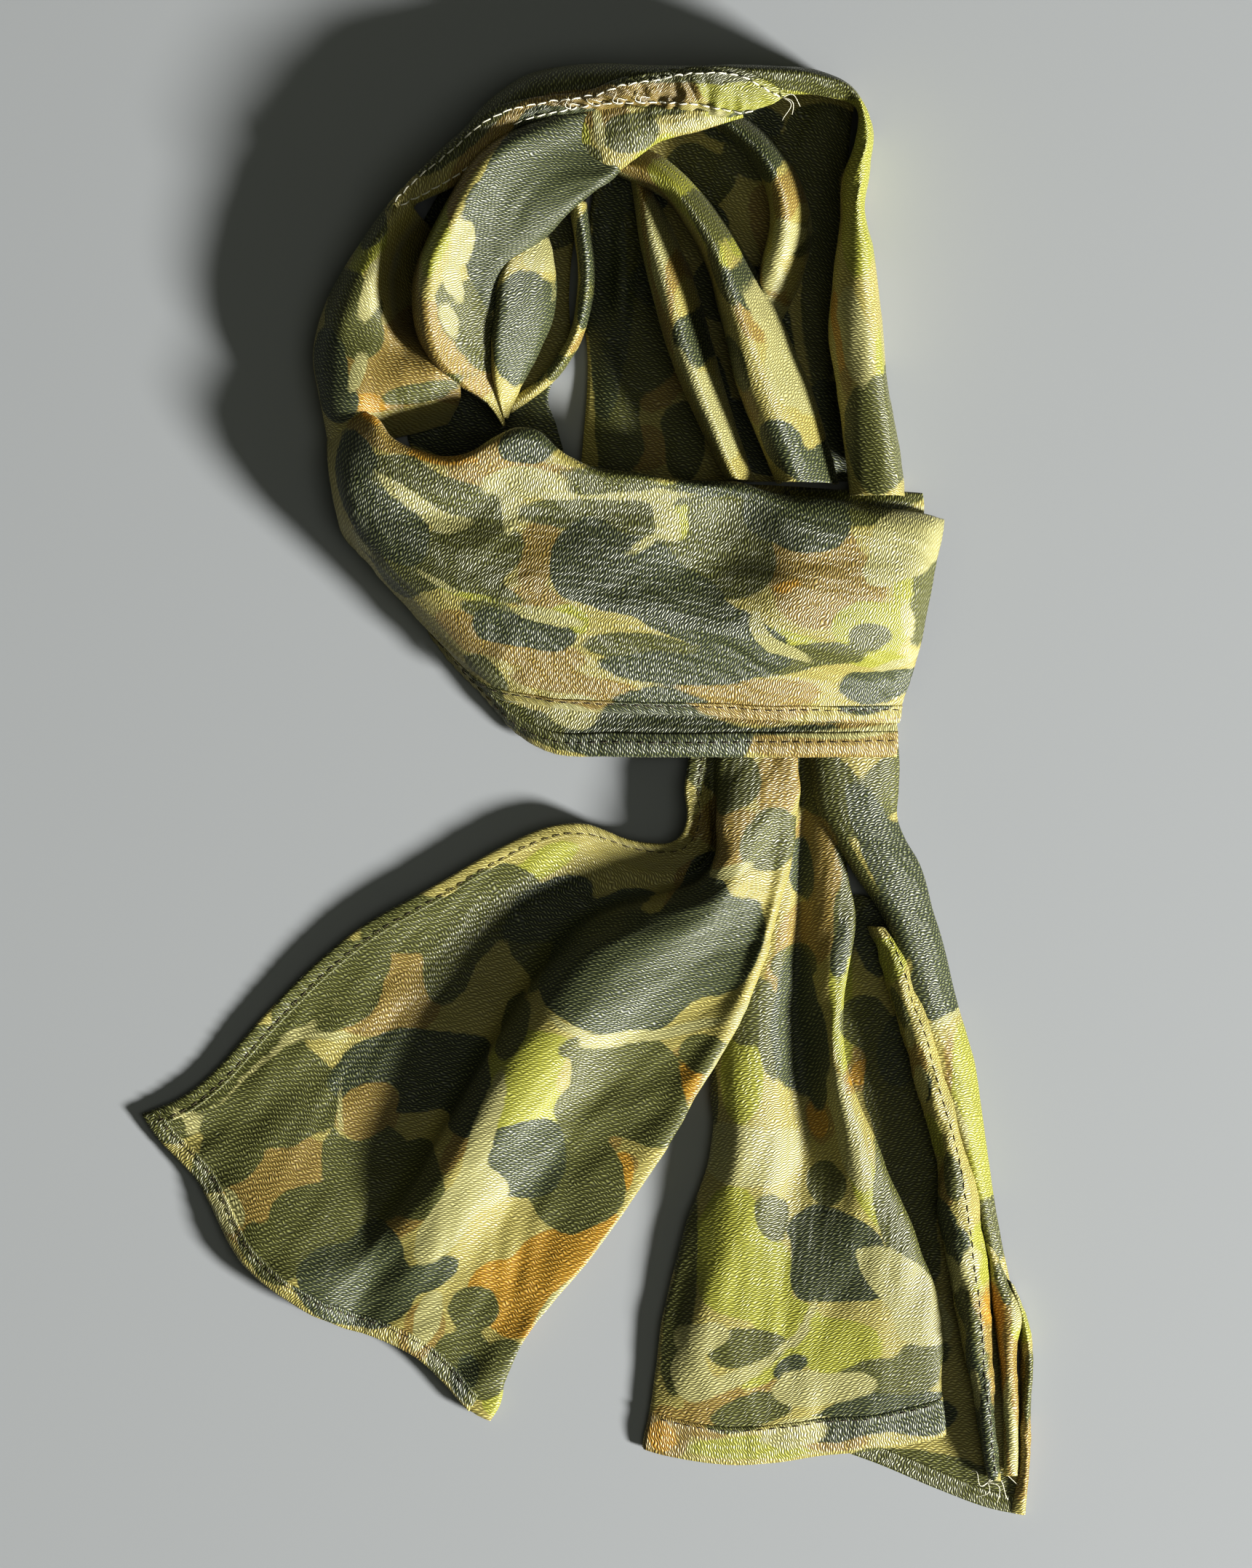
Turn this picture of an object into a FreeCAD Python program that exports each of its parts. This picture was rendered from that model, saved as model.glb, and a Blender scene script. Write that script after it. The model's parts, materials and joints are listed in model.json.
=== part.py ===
import FreeCAD, Part
import math
import os

# A hooded head wrap of satin crepe, laid flat: a hood, a neck wrap and two loose scarf tails.
# Millimetres, +X to the wearer's left as it lies face up, +Y to the crown, +Z up from the surface.
# The origin is under the middle of the whole wrap, on the surface that it lies on.
# Every panel of cloth is a plain closed solid, split at its folds, with a small gap to the next one.

GAP = 1.2            # room between neighbouring pieces of cloth
HEM = 6.4            # width of a turned and stitched hem
PITCH = 4.6          # from one stitch to the next
STITCH_LONG = 3.2
STITCH_WIDE = 0.8
STITCH_HIGH = 0.6
STITCH_LIFT = 0.05   # a stitch lies just clear of its hem

GROUND = 0.0
BACK_THICK = 3.0     # the layers that lie on the surface
ON_BACK = 3.4        # where the folds that rest on those layers start
ROOT_TOP = 9.4       # the tails' roots lie between the wrap's back and its front
ROOT_CLEAR = 0.2     # room for them to turn
WRAP_FLOOR = 11.0    # the underside of the wrap's front
SECTIONS = 9         # cross-sections in a fold

LEFT_ROOT_R = 17.5
RIGHT_ROOT_R = 16.0
ROOT_END_Y = 7.0          # below this the tails widen and lie on the surface
LEFT_PIVOT = (60, ROOT_END_Y + LEFT_ROOT_R)      # where each tail turns under the wrap
RIGHT_PIVOT = (100, ROOT_END_Y + RIGHT_ROOT_R)

V = FreeCAD.Vector
UP = V(0, 0, 1)


def curve(points):
    """A smooth curve through points in plan."""
    line = Part.BSplineCurve()
    line.interpolate([V(x, y, 0) for x, y in points])
    return line


def spaced(points, count):
    """Evenly spaced places on the smooth curve through the points."""
    return curve(points).discretize(Number=count)


def beside(points, distance, count=14):
    """The same curve moved sideways: a positive distance is to the left of its direction."""
    line = curve(points)
    moved = []
    for place in line.discretize(Number=count):
        along = line.tangent(line.parameter(place))[0]
        moved.append((place.x - distance * along.y, place.y + distance * along.x))
    return moved


def at_share(values, share):
    """A value from a list spread evenly over 0 to 1."""
    place = share * (len(values) - 1)
    low = min(int(place), len(values) - 2)
    return values[low] + (values[low + 1] - values[low]) * (place - low)


def fold(rail_a, rail_b, floor, edge, rises, lean=0.5, sections=SECTIONS):
    """A rounded fold of cloth between two rails: edge is its height at the rails, rises its swell."""
    wires = []
    pairs = zip(spaced(rail_a, sections), spaced(rail_b, sections))
    for i, (a, b) in enumerate(pairs):
        rise = at_share(rises, i / (sections - 1))

        def place(share, height):
            return V(a.x + share * (b.x - a.x), a.y + share * (b.y - a.y), floor + height)

        top = Part.BSplineCurve()
        top.interpolate([
            place(0, edge),
            place(0.5 * lean, edge + 0.78 * rise),
            place(lean, edge + rise),
            place(0.5 + 0.5 * lean, edge + 0.78 * rise),
            place(1, edge),
        ])
        wires.append(Part.Wire([
            Part.makeLine(place(0, 0), place(0, edge)),
            top.toShape(),
            Part.makeLine(place(1, edge), place(1, 0)),
            Part.makeLine(place(1, 0), place(0, 0)),
        ]))
    return Part.makeLoft(wires, True, False)


def slab(rail_a, rail_b, floor, thick):
    """A flat layer of cloth between two rails that run the same way."""
    a = curve(rail_a)
    b = curve(rail_b)
    outline = Part.Wire([
        a.toShape(),
        Part.makeLine(a.EndPoint, b.EndPoint),
        b.toShape(),
        Part.makeLine(b.StartPoint, a.StartPoint),
    ])
    layer = Part.Face(outline)
    layer.translate(UP * floor)
    return layer.extrude(UP * thick)


def stitch_row(points, top, first=1.5):
    """The straight stitches of one row, lying on a flat hem."""
    line = curve(points)
    count = int((line.length() - first) / PITCH)
    row = []
    for i in range(count):
        place = line.value(line.parameterAtDistance(first + PITCH * (i + 0.5)))
        along = line.tangent(line.parameter(place))[0]
        stitch = Part.makeBox(STITCH_LONG, STITCH_WIDE, STITCH_HIGH,
                              V(-STITCH_LONG / 2, -STITCH_WIDE / 2, 0))
        stitch.rotate(V(0, 0, 0), UP, math.degrees(math.atan2(along.y, along.x)))
        stitch.translate(V(place.x, place.y, top + STITCH_LIFT))
        row.append(stitch)
    return row


def stitches(points, top, first=1.5):
    """One row of stitches as one node."""
    return Part.makeCompound(stitch_row(points, top, first))


def tail_root(pivot, radius):
    """The round end of a tail that turns between the wrap's two layers, with its straight neck."""
    x, y = pivot
    low = ON_BACK + ROOT_CLEAR
    thick = ROOT_TOP - low
    disc = Part.makeCylinder(radius, thick, V(x, y, low))
    neck = Part.makeBox(2 * radius, y - ROOT_END_Y, thick, V(x - radius, ROOT_END_Y, low))
    return disc.fuse(neck).removeSplitter()


# Hood

LEFT_WALL_OUTER = [(-101, 148), (-105, 162), (-104, 176), (-98, 190), (-91, 203), (-81, 217)]
LEFT_WALL_INNER = [(-80, 150), (-72, 159), (-71, 169), (-74, 182), (-78, 196), (-76, 212)]

CROWN_OUTER = [(-79, 220), (-60, 241), (-41, 260), (-25, 272), (0, 277), (55, 276), (88, 273),
               (104, 262), (107, 251)]
SEAM_OUTER = [(-72, 224), (-60, 235), (-50, 243.5), (-36, 253.5), (-20, 258.5), (5, 263),
              (25, 266), (45, 268), (66, 265)]
SEAM_INNER = [(-74, 217), (-60, 228), (-50, 236), (-38, 249), (-20, 255), (0, 258.5), (20, 258.5),
              (40, 257), (60, 257)]
CROWN_INNER = [(-74, 224.5), (-60, 237), (-50, 245.5), (-36, 255.5), (-20, 260.5), (5, 265),
               (45, 270), (70, 269.5), (88, 266), (98, 262), (103, 251.5)]
BRIM_UPPER = [(8, 256.5), (24, 256.5), (40, 255), (54, 255)]
BRIM_LOWER = [(11, 236), (20, 241), (30, 246.5), (40, 250), (53, 253)]

TEMPLE_LEFT = [(-8, 253), (-20, 252), (-35, 246), (-45, 238), (-54, 225), (-65, 200), (-66, 175),
               (-56, 157), (-46, 150), (-39, 146)]
TEMPLE_RIGHT = [(3, 250), (8, 236), (0, 226), (-10, 217), (-17, 210), (-26, 204), (-32.5, 195),
                (-35, 180), (-37, 168), (-37, 155), (-35.5, 145)]
LEAF_LEFT = [(-22, 200.5), (-29.5, 192), (-31.5, 180), (-33.5, 168), (-33.5, 157), (-33, 148)]
LEAF_RIGHT = [(-16, 205), (-13, 198), (-12.5, 189), (-14, 179), (-18, 169), (-24, 158), (-29, 149)]
RIBBON_INNER = [(-6.5, 214), (-5, 205), (-5, 190), (-7.5, 175), (-13, 165), (-19, 158), (-25, 152)]
RIBBON_OUTER = [(-1, 214), (1.5, 205), (2, 195), (1, 186), (-2.5, 175), (-7, 166), (-14, 157),
                (-23, 149)]

PLEAT_A_LEFT = [(17, 226), (18, 215), (25, 185), (36, 152), (50, 123)]
PLEAT_A_RIGHT = [(20.5, 227), (25, 220), (35, 190), (44, 155), (57, 121)]
PLEAT_B_LEFT = [(20, 231.5), (30, 227.5), (45, 208), (55, 185), (64, 158), (75, 119)]
PLEAT_B_RIGHT = [(24, 239), (32, 235), (50, 215), (68, 184), (82, 152), (91, 118)]
PLEAT_C_LEFT = [(53, 248), (61, 242), (68, 232), (70.5, 220), (69.5, 208), (69, 198), (71, 189)]
PLEAT_C_RIGHT = [(60, 250.5), (70, 242), (77, 233), (81, 222), (82, 211), (79, 200), (74.5, 188)]

EDGE_OUTER = [(108, 246), (105, 232), (104.5, 220), (109, 195), (112, 165), (114, 150), (119, 118)]
EDGE_INNER = [(103, 247), (97, 240), (95.5, 225), (92.5, 190), (92, 172), (95, 150), (100, 118)]

BACK_LEFT = [(-86, 117), (-78, 135), (-76, 150), (-69, 159), (-69.5, 180), (-74, 200), (-66, 226),
             (-50, 241), (-30, 255), (0, 262)]
BACK_RIGHT = [(98, 117), (94, 135), (91, 160), (90.5, 185), (93, 215), (94, 238), (92, 249),
              (84, 257), (66, 262)]
NECK_GAP_LEFT = [(-25, 147), (-14, 151), (-8, 158), (-4, 169)]
NECK_GAP_RIGHT = [(-22, 141), (-8, 140), (1, 142), (3, 156), (1, 170)]


def hood_back_panel():
    panel = slab(BACK_LEFT, BACK_RIGHT, GROUND, BACK_THICK)
    neck_gap = slab(NECK_GAP_LEFT, NECK_GAP_RIGHT, GROUND - 1, BACK_THICK + 2)
    return panel.cut(neck_gap)


def hood():
    seam_top = 34
    seam_thick = 6
    seam_floor = seam_top - seam_thick
    return {
        "hood_back_panel": hood_back_panel(),
        "hood_left_panel": fold(LEFT_WALL_OUTER, LEFT_WALL_INNER, GROUND, edge=12,
                                rises=[14, 18, 18, 16]),
        "hood_crown_panel": fold(CROWN_OUTER, CROWN_INNER, GROUND, edge=26,
                                 rises=[4, 8, 10, 10, 10, 10, 6], sections=15),
        "crown_seam_band": slab(SEAM_OUTER, SEAM_INNER, seam_floor, seam_thick),
        "crown_seam_stitches_outer": stitches(beside(SEAM_OUTER, -1.6), seam_top),
        "crown_seam_stitches_inner": Part.makeCompound(
            stitch_row(beside(SEAM_INNER[:3], 1.2), seam_top)
            + stitch_row(beside(SEAM_INNER[5:], 1.2), seam_top)
        ),
        "crown_brim_flap": fold(BRIM_UPPER, BRIM_LOWER, seam_floor, edge=3, rises=[3, 5, 3, 1]),
        "temple_fold": fold(TEMPLE_LEFT, TEMPLE_RIGHT, ON_BACK, edge=14,
                            rises=[12, 26, 28, 28, 24, 12]),
        "temple_inner_leaf": fold(LEAF_LEFT, LEAF_RIGHT, ON_BACK, edge=8, rises=[8, 16, 18, 10]),
        "throat_ribbon_fold": fold(RIBBON_INNER, RIBBON_OUTER, ON_BACK, edge=8, rises=[6, 10, 8, 4]),
        "back_pleat_left": fold(PLEAT_A_LEFT, PLEAT_A_RIGHT, ON_BACK, edge=4, rises=[8, 14, 16, 16]),
        "back_pleat_middle": fold(PLEAT_B_LEFT, PLEAT_B_RIGHT, ON_BACK, edge=6,
                                  rises=[10, 20, 24, 26, 22]),
        "back_pleat_right": fold(PLEAT_C_LEFT, PLEAT_C_RIGHT, ON_BACK, edge=6, rises=[10, 16, 16, 10]),
        "face_edge_band": fold(EDGE_OUTER, EDGE_INNER, GROUND, edge=14, rises=[16, 20, 22, 20, 14]),
    }


# Neck wrap

WRAP_TOP = [(-97, 138), (-88, 142), (-80, 138), (-68, 129), (-50, 125.5), (-38, 132), (-25, 136),
            (-10, 126.5), (10, 120), (57, 115.5), (75, 111.5), (105, 107.5), (134, 102)]
WRAP_LOW = [(-94, 96), (-80, 83), (-60, 62), (-47, 49.5), (-32, 43.5), (-10, 40), (20, 37),
            (50, 36.5), (80, 36.5), (105, 37), (121, 39)]
HEM_HIGH = [(-37, 42.8), (-20, 39.8), (0, 37), (20, 35.5), (50, 35), (80, 34.8), (105, 35.3),
            (119.5, 37)]
HEM_EDGE = [(-33, 36), (-20, 33), (0, 30), (20, 29.5), (50, 28), (70, 26.6), (90, 26), (118.5, 26)]
UNDER_HIGH = [(-44, 42), (-30, 37), (-10, 34), (10, 33), (32, 33)]
UNDER_LOW = [(-39, 36), (-28, 23), (-18, 17), (-8, 15), (10, 15), (32, 15)]


def neck_wrap():
    upper_hem_floor = 16
    lower_hem_floor = 10.5
    hem_thick = 5
    under_thick = 6
    tab_floor = 4
    tab_thick = 6
    return {
        "neck_wrap_front": fold(WRAP_TOP, WRAP_LOW, WRAP_FLOOR, edge=8,
                                rises=[8, 16, 20, 20, 18, 12], sections=13),
        "neck_wrap_back": slab([(-88, 115.5), (125, 115.5)],
                               [(-88, 93), (-55, 58), (-30, 36), (-5, 24), (60, 22), (119, 22)],
                               GROUND, BACK_THICK),
        "neck_wrap_under_layer": slab(UNDER_HIGH, UNDER_LOW, ON_BACK, under_thick),
        "wrap_back_tab": slab([(78, 113.5), (102, 114), (126, 112.5)],
                              [(78, 98), (102, 98), (126, 98)], tab_floor, tab_thick),
        "wrap_upper_hem": slab(HEM_HIGH, HEM_EDGE, upper_hem_floor, hem_thick),
        "wrap_lower_hem": slab([(-8, 23.5), (50, 23.5), (117.5, 23.5)],
                               [(-10, 14), (50, 13.5), (117.5, 13.5)], lower_hem_floor, hem_thick),
        "wrap_upper_hem_stitches": stitches(beside(HEM_HIGH, -1.5), upper_hem_floor + hem_thick),
        "wrap_lower_hem_stitches": stitches([(38, 19), (80, 19), (117, 19)],
                                            lower_hem_floor + hem_thick),
    }


# Left tail

TAIL_SIDE = [(30, -21), (15, -19), (0, -13), (-15, -14), (-32, -21), (-60, -37), (-85, -51),
             (-103, -65), (-125, -87), (-145, -109), (-166, -120)]
TAIL_END = [(-168, -128), (-157, -138), (-140, -160), (-126, -182), (-110, -198), (-85, -208),
            (-60, -219), (-50, -232), (-38, -240)]
TAIL_RIGHT = [(79, 5), (77, -20), (66, -65), (40, -118), (20, -150), (0, -178), (-22, -204),
              (-33, -224)]
CREST_LEFT = [(46, 5), (49, -12), (47, -26), (36, -35), (18, -41), (2, -50), (-12, -65),
              (-36, -103), (-60, -144), (-84, -187), (-92, -197)]
CREST_RIGHT = [(66, 5), (64, -20), (53, -63), (28, -112), (9, -143), (-11, -171), (-33, -197),
               (-45, -214)]
FLAP_LOW = [(22, -36), (4, -43), (-12, -57), (-26, -79), (-40, -103), (-62, -141), (-86, -183),
            (-98, -195)]


def left_tail():
    hem_thick = 7
    edge_floor = 12.5    # the folded edge hangs clear of the surface
    room_thick = 40
    end_room = slab(beside(TAIL_END, -GAP), beside(TAIL_END, HEM + GAP), GROUND - 1, room_thick)
    panel = fold(beside(TAIL_SIDE, HEM + GAP)[1:], FLAP_LOW, GROUND, edge=5,
                 rises=[4, 6, 6, 5, 3], sections=11)
    side_hem = slab(TAIL_SIDE, beside(TAIL_SIDE, HEM), GROUND, hem_thick)
    return {
        "left_tail_root": tail_root(LEFT_PIVOT, LEFT_ROOT_R),
        "left_tail_centre_fold": fold(CREST_LEFT, CREST_RIGHT, GROUND, edge=5,
                                      rises=[9, 14, 18, 20, 18, 16, 12], sections=13),
        "left_tail_folded_edge": fold(beside(CREST_RIGHT, GAP), TAIL_RIGHT, edge_floor, edge=2.5,
                                      rises=[3, 5, 5, 4, 3], sections=11),
        "left_tail_outer_panel": panel.cut(end_room),
        "left_tail_side_hem": side_hem.cut(end_room),
        "left_tail_end_hem": slab(TAIL_END, beside(TAIL_END, HEM), GROUND, hem_thick),
        "left_tail_throat_twist": fold([(35, -2), (37, -10), (34.5, -17), (31.5, -20)],
                                       [(42, -2), (45.5, -11), (45, -21), (38, -29)],
                                       ON_BACK, edge=4, rises=[5, 8, 6]),
        "left_tail_side_stitches": stitches(beside(TAIL_SIDE, HEM - 1.5), hem_thick, 14),
        "left_tail_end_stitches": stitches(beside(TAIL_END, HEM - 1.5), hem_thick, 8),
    }


# Right tail

FRONT_LEFT = [(78, -15), (73, -40), (66, -66), (57, -91), (48, -117), (46, -140), (38, -160),
              (30, -190), (25, -218), (21.5, -243)]
FRONT_RIGHT = [(86, -15), (97, -37), (98, -65), (95, -92), (104, -125), (124, -171), (134, -200),
               (134, -222), (132, -238)]
FRONT_END = [(21, -251), (38, -256), (62, -257), (90, -254), (133, -246)]
REAR_LEFT = [(84, 5), (90, -11), (104, -36), (116, -56), (128, -86), (140, -122), (151, -165),
             (154, -181)]
REAR_RIGHT = [(116, 5), (117, -10), (127, -30), (135, -60), (146, -100), (153, -150), (160, -186)]
SIDE_LEFT = [(113, -66), (122, -95), (132, -130), (136, -150), (141, -185), (147, -235), (150, -262)]
SIDE_RIGHT = [(119, -69), (132, -104), (143, -142), (151.5, -180), (155, -225), (157, -262)]
STRIP_LEFT = [(154, -187), (157, -205), (158.5, -235), (159, -262)]
STRIP_RIGHT = [(162, -189), (167.5, -205), (168.5, -225), (168, -262)]
UNDER_LEFT = [(103, -66), (98, -93), (107, -125), (127, -171), (137, -200), (136.5, -235), (136, -240)]
UNDER_RIGHT = [(111, -67), (120, -95), (130, -130), (134, -150), (139, -185), (145, -235), (146, -240)]
BACK_EDGE = [(104, -261), (120, -263.5), (140, -270), (152, -274), (167, -277)]


def right_tail():
    hem_thick = 7
    side_thick = 11
    under_thick = 2.5
    return {
        "right_tail_root": tail_root(RIGHT_PIVOT, RIGHT_ROOT_R),
        "right_tail_front_panel": fold(FRONT_LEFT, FRONT_RIGHT, GROUND, edge=4,
                                       rises=[4, 6.5, 7, 7, 8, 9, 7], sections=13),
        "right_tail_end_hem": slab(FRONT_END, beside(FRONT_END, HEM), GROUND, hem_thick),
        "right_tail_rear_panel": fold(REAR_LEFT, REAR_RIGHT, GROUND, edge=5,
                                      rises=[5, 9, 12, 14, 12, 8], sections=11),
        "right_tail_side_hem": slab(SIDE_LEFT, SIDE_RIGHT, GROUND, side_thick),
        "right_tail_inner_strip": fold(STRIP_LEFT, STRIP_RIGHT, GROUND, edge=4, rises=[4, 8, 8, 5]),
        "right_tail_under_panel": slab(UNDER_LEFT, UNDER_RIGHT, GROUND, under_thick),
        "right_tail_under_hem": slab(BACK_EDGE, beside(BACK_EDGE, HEM), GROUND, under_thick),
        "right_tail_end_stitches": stitches(beside(FRONT_END, HEM - 1), hem_thick, 8),
        "right_tail_side_stitches": stitches(beside(SIDE_LEFT, 1.6), side_thick),
    }


def main():
    os.makedirs("parts", exist_ok=True)
    nodes = {}
    for group in (hood(), neck_wrap(), left_tail(), right_tail()):
        nodes.update(group)
    for name, shape in nodes.items():
        shape.exportStep("parts/" + name + ".step")
        print(name, "valid" if shape.isValid() else "NOT VALID", len(shape.Solids),
              round(shape.Volume / 1000, 2), "cm3")


main()
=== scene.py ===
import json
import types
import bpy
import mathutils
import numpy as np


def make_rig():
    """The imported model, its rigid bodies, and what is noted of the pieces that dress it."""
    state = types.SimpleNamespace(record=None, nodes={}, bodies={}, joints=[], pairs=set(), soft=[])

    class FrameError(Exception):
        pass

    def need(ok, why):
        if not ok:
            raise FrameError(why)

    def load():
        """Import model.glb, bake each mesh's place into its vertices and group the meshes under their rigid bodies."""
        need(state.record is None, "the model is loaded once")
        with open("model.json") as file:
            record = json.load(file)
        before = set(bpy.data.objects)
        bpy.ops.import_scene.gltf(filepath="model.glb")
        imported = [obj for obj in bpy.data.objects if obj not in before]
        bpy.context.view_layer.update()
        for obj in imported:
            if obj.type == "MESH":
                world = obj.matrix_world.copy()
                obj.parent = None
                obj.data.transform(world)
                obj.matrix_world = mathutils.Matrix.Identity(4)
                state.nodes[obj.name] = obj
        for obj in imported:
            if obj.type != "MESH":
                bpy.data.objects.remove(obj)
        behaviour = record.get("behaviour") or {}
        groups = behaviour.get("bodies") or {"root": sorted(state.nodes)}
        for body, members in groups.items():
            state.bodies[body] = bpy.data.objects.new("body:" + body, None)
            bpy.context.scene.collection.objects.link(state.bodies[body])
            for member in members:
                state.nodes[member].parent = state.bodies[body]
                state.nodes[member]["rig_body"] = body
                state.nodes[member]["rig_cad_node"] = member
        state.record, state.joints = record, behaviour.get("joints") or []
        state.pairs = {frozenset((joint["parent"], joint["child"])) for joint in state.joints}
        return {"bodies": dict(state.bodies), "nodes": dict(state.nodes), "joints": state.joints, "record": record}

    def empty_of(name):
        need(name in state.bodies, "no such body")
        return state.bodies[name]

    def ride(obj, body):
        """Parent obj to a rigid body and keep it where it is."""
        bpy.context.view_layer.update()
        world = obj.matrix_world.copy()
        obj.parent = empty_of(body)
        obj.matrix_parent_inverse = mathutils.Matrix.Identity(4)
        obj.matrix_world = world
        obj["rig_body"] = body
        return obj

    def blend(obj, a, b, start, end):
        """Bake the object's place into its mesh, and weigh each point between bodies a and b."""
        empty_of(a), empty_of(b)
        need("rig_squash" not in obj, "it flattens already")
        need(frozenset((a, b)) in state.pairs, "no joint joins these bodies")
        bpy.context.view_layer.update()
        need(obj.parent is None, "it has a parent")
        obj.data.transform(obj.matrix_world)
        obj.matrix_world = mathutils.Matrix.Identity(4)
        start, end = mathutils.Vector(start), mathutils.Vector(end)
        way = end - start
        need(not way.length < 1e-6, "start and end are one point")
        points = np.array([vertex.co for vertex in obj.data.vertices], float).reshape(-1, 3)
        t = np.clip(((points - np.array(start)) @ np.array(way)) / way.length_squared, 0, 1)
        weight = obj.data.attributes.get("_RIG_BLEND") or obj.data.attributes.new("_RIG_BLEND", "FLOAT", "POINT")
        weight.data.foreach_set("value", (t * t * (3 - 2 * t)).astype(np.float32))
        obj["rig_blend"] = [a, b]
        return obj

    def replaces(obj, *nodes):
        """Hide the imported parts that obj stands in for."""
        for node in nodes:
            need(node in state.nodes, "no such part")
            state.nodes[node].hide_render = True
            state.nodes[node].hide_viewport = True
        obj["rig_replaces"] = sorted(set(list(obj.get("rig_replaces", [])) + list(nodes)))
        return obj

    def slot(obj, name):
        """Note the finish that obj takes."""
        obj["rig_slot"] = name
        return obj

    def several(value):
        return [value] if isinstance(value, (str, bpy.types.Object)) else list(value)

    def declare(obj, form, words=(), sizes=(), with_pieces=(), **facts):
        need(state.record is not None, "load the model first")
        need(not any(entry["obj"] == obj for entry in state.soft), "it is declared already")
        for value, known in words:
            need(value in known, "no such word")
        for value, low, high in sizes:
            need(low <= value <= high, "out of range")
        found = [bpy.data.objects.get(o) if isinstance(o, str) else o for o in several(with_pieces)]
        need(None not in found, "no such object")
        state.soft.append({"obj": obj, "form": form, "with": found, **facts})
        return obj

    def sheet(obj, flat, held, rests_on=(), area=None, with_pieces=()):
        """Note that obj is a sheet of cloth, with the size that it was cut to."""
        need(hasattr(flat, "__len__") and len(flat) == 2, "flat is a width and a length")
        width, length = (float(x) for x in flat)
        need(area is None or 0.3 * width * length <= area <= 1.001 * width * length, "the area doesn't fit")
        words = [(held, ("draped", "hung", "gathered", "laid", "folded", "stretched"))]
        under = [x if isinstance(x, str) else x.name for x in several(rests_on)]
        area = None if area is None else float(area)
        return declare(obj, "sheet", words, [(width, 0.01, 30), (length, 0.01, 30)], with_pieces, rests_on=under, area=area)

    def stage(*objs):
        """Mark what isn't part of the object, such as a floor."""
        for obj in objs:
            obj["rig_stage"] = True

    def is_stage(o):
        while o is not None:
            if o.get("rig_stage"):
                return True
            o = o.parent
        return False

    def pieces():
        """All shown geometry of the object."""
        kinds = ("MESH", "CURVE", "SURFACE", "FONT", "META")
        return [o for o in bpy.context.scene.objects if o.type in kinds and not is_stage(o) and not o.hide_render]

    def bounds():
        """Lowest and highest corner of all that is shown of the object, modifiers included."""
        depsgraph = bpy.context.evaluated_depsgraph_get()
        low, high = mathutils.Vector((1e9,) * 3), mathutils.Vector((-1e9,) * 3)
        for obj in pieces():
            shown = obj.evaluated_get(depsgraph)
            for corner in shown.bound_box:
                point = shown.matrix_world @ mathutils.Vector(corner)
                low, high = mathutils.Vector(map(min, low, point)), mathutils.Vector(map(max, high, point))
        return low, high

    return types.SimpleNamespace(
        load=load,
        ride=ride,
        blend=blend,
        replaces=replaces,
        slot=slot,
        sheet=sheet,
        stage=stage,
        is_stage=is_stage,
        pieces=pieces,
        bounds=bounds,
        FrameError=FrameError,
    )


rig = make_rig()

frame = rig.load()
cad_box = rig.bounds()

import json
import math

import bpy
import numpy as np
from mathutils import Vector

# A hooded head wrap of printed satin crepe, laid flat. All places below are in millimetres in the
# frame's axes: +X right, +Y to the crown, +Z up. Meshes are made in metres.

MM = 0.001
STEP = 1.3             # about the spacing of the mesh in the cloth
CLOTH = 0.45           # thickness of one layer
HEM_LAYER = 0.3        # thickness of the strip that is turned over for a hem
FLOOR_GAP = 0.35       # the lowest that cloth lies above the surface
HEM = 6.4              # width of a turned hem
PITCH = 4.6            # from one stitch to the next
THREAD_R = 0.27        # radius of a stitch, unless it is given
HEM_THREAD_R = 0.18    # radius of a stitch in a hem
MELT = 1.8             # how softly blotches of one colour run together
FAR = 99.0             # further than any print reaches
SHEAR = 0.35           # how far the print slides sideways per unit of height, so that it never streaks
ROOT = "hood_and_wrap"
LEFT = "left_tail"
RIGHT = "right_tail"


# Curves and surfaces

def lengths(points):
    """Distance along each curve, from its first point; points run along axis 0."""
    steps = np.linalg.norm(np.diff(points, axis=0), axis=-1)
    return np.concatenate([np.zeros_like(steps[:1]), np.cumsum(steps, axis=0)])


def through(points, counts):
    """Smooth curves through points[k], with counts[k] pieces in the stretch after point k."""
    points = np.asarray(points, float)
    chords = np.maximum(np.linalg.norm(np.diff(points, axis=0), axis=-1), 1e-6) ** 0.5
    chords = chords[..., None]
    slopes = np.diff(points, axis=0) / chords
    inner = (slopes[:-1] * chords[1:] + slopes[1:] * chords[:-1]) / (chords[1:] + chords[:-1])
    tangents = np.concatenate([slopes[:1], inner, slopes[-1:]])
    made = []
    for k, count in enumerate(counts):
        last = 1 if k == len(counts) - 1 else 0
        t = np.linspace(0, 1, count + 1)[: count + last]
        t = t.reshape((-1,) + (1,) * (points.ndim - 1))
        h = chords[k]
        made.append(
            (2 * t**3 - 3 * t**2 + 1) * points[k]
            + (t**3 - 2 * t**2 + t) * h * tangents[k]
            + (3 * t**2 - 2 * t**3) * points[k + 1]
            + (t**3 - t**2) * h * tangents[k + 1]
        )
    return np.concatenate(made)


def spaced(points, count):
    """count places, evenly spaced on a smooth curve through the points."""
    dense = through(points, [24] * (len(points) - 1))
    at = lengths(dense)
    even = np.linspace(0, at[-1], count)
    return np.stack([np.interp(even, at, dense[:, i]) for i in range(dense.shape[1])], axis=1)


def at_share(values, count):
    """A list of values spread evenly over the length, as a smooth row of count values."""
    if np.isscalar(values):
        return np.full(count, float(values))
    rows = [(i, float(v), 0.0) for i, v in enumerate(values)]
    if len(rows) == 1:
        return np.full(count, float(values[0]))
    dense = through(rows, [24] * (len(rows) - 1))
    return np.interp(np.linspace(0, len(values) - 1, count), dense[:, 0], dense[:, 1])


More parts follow.
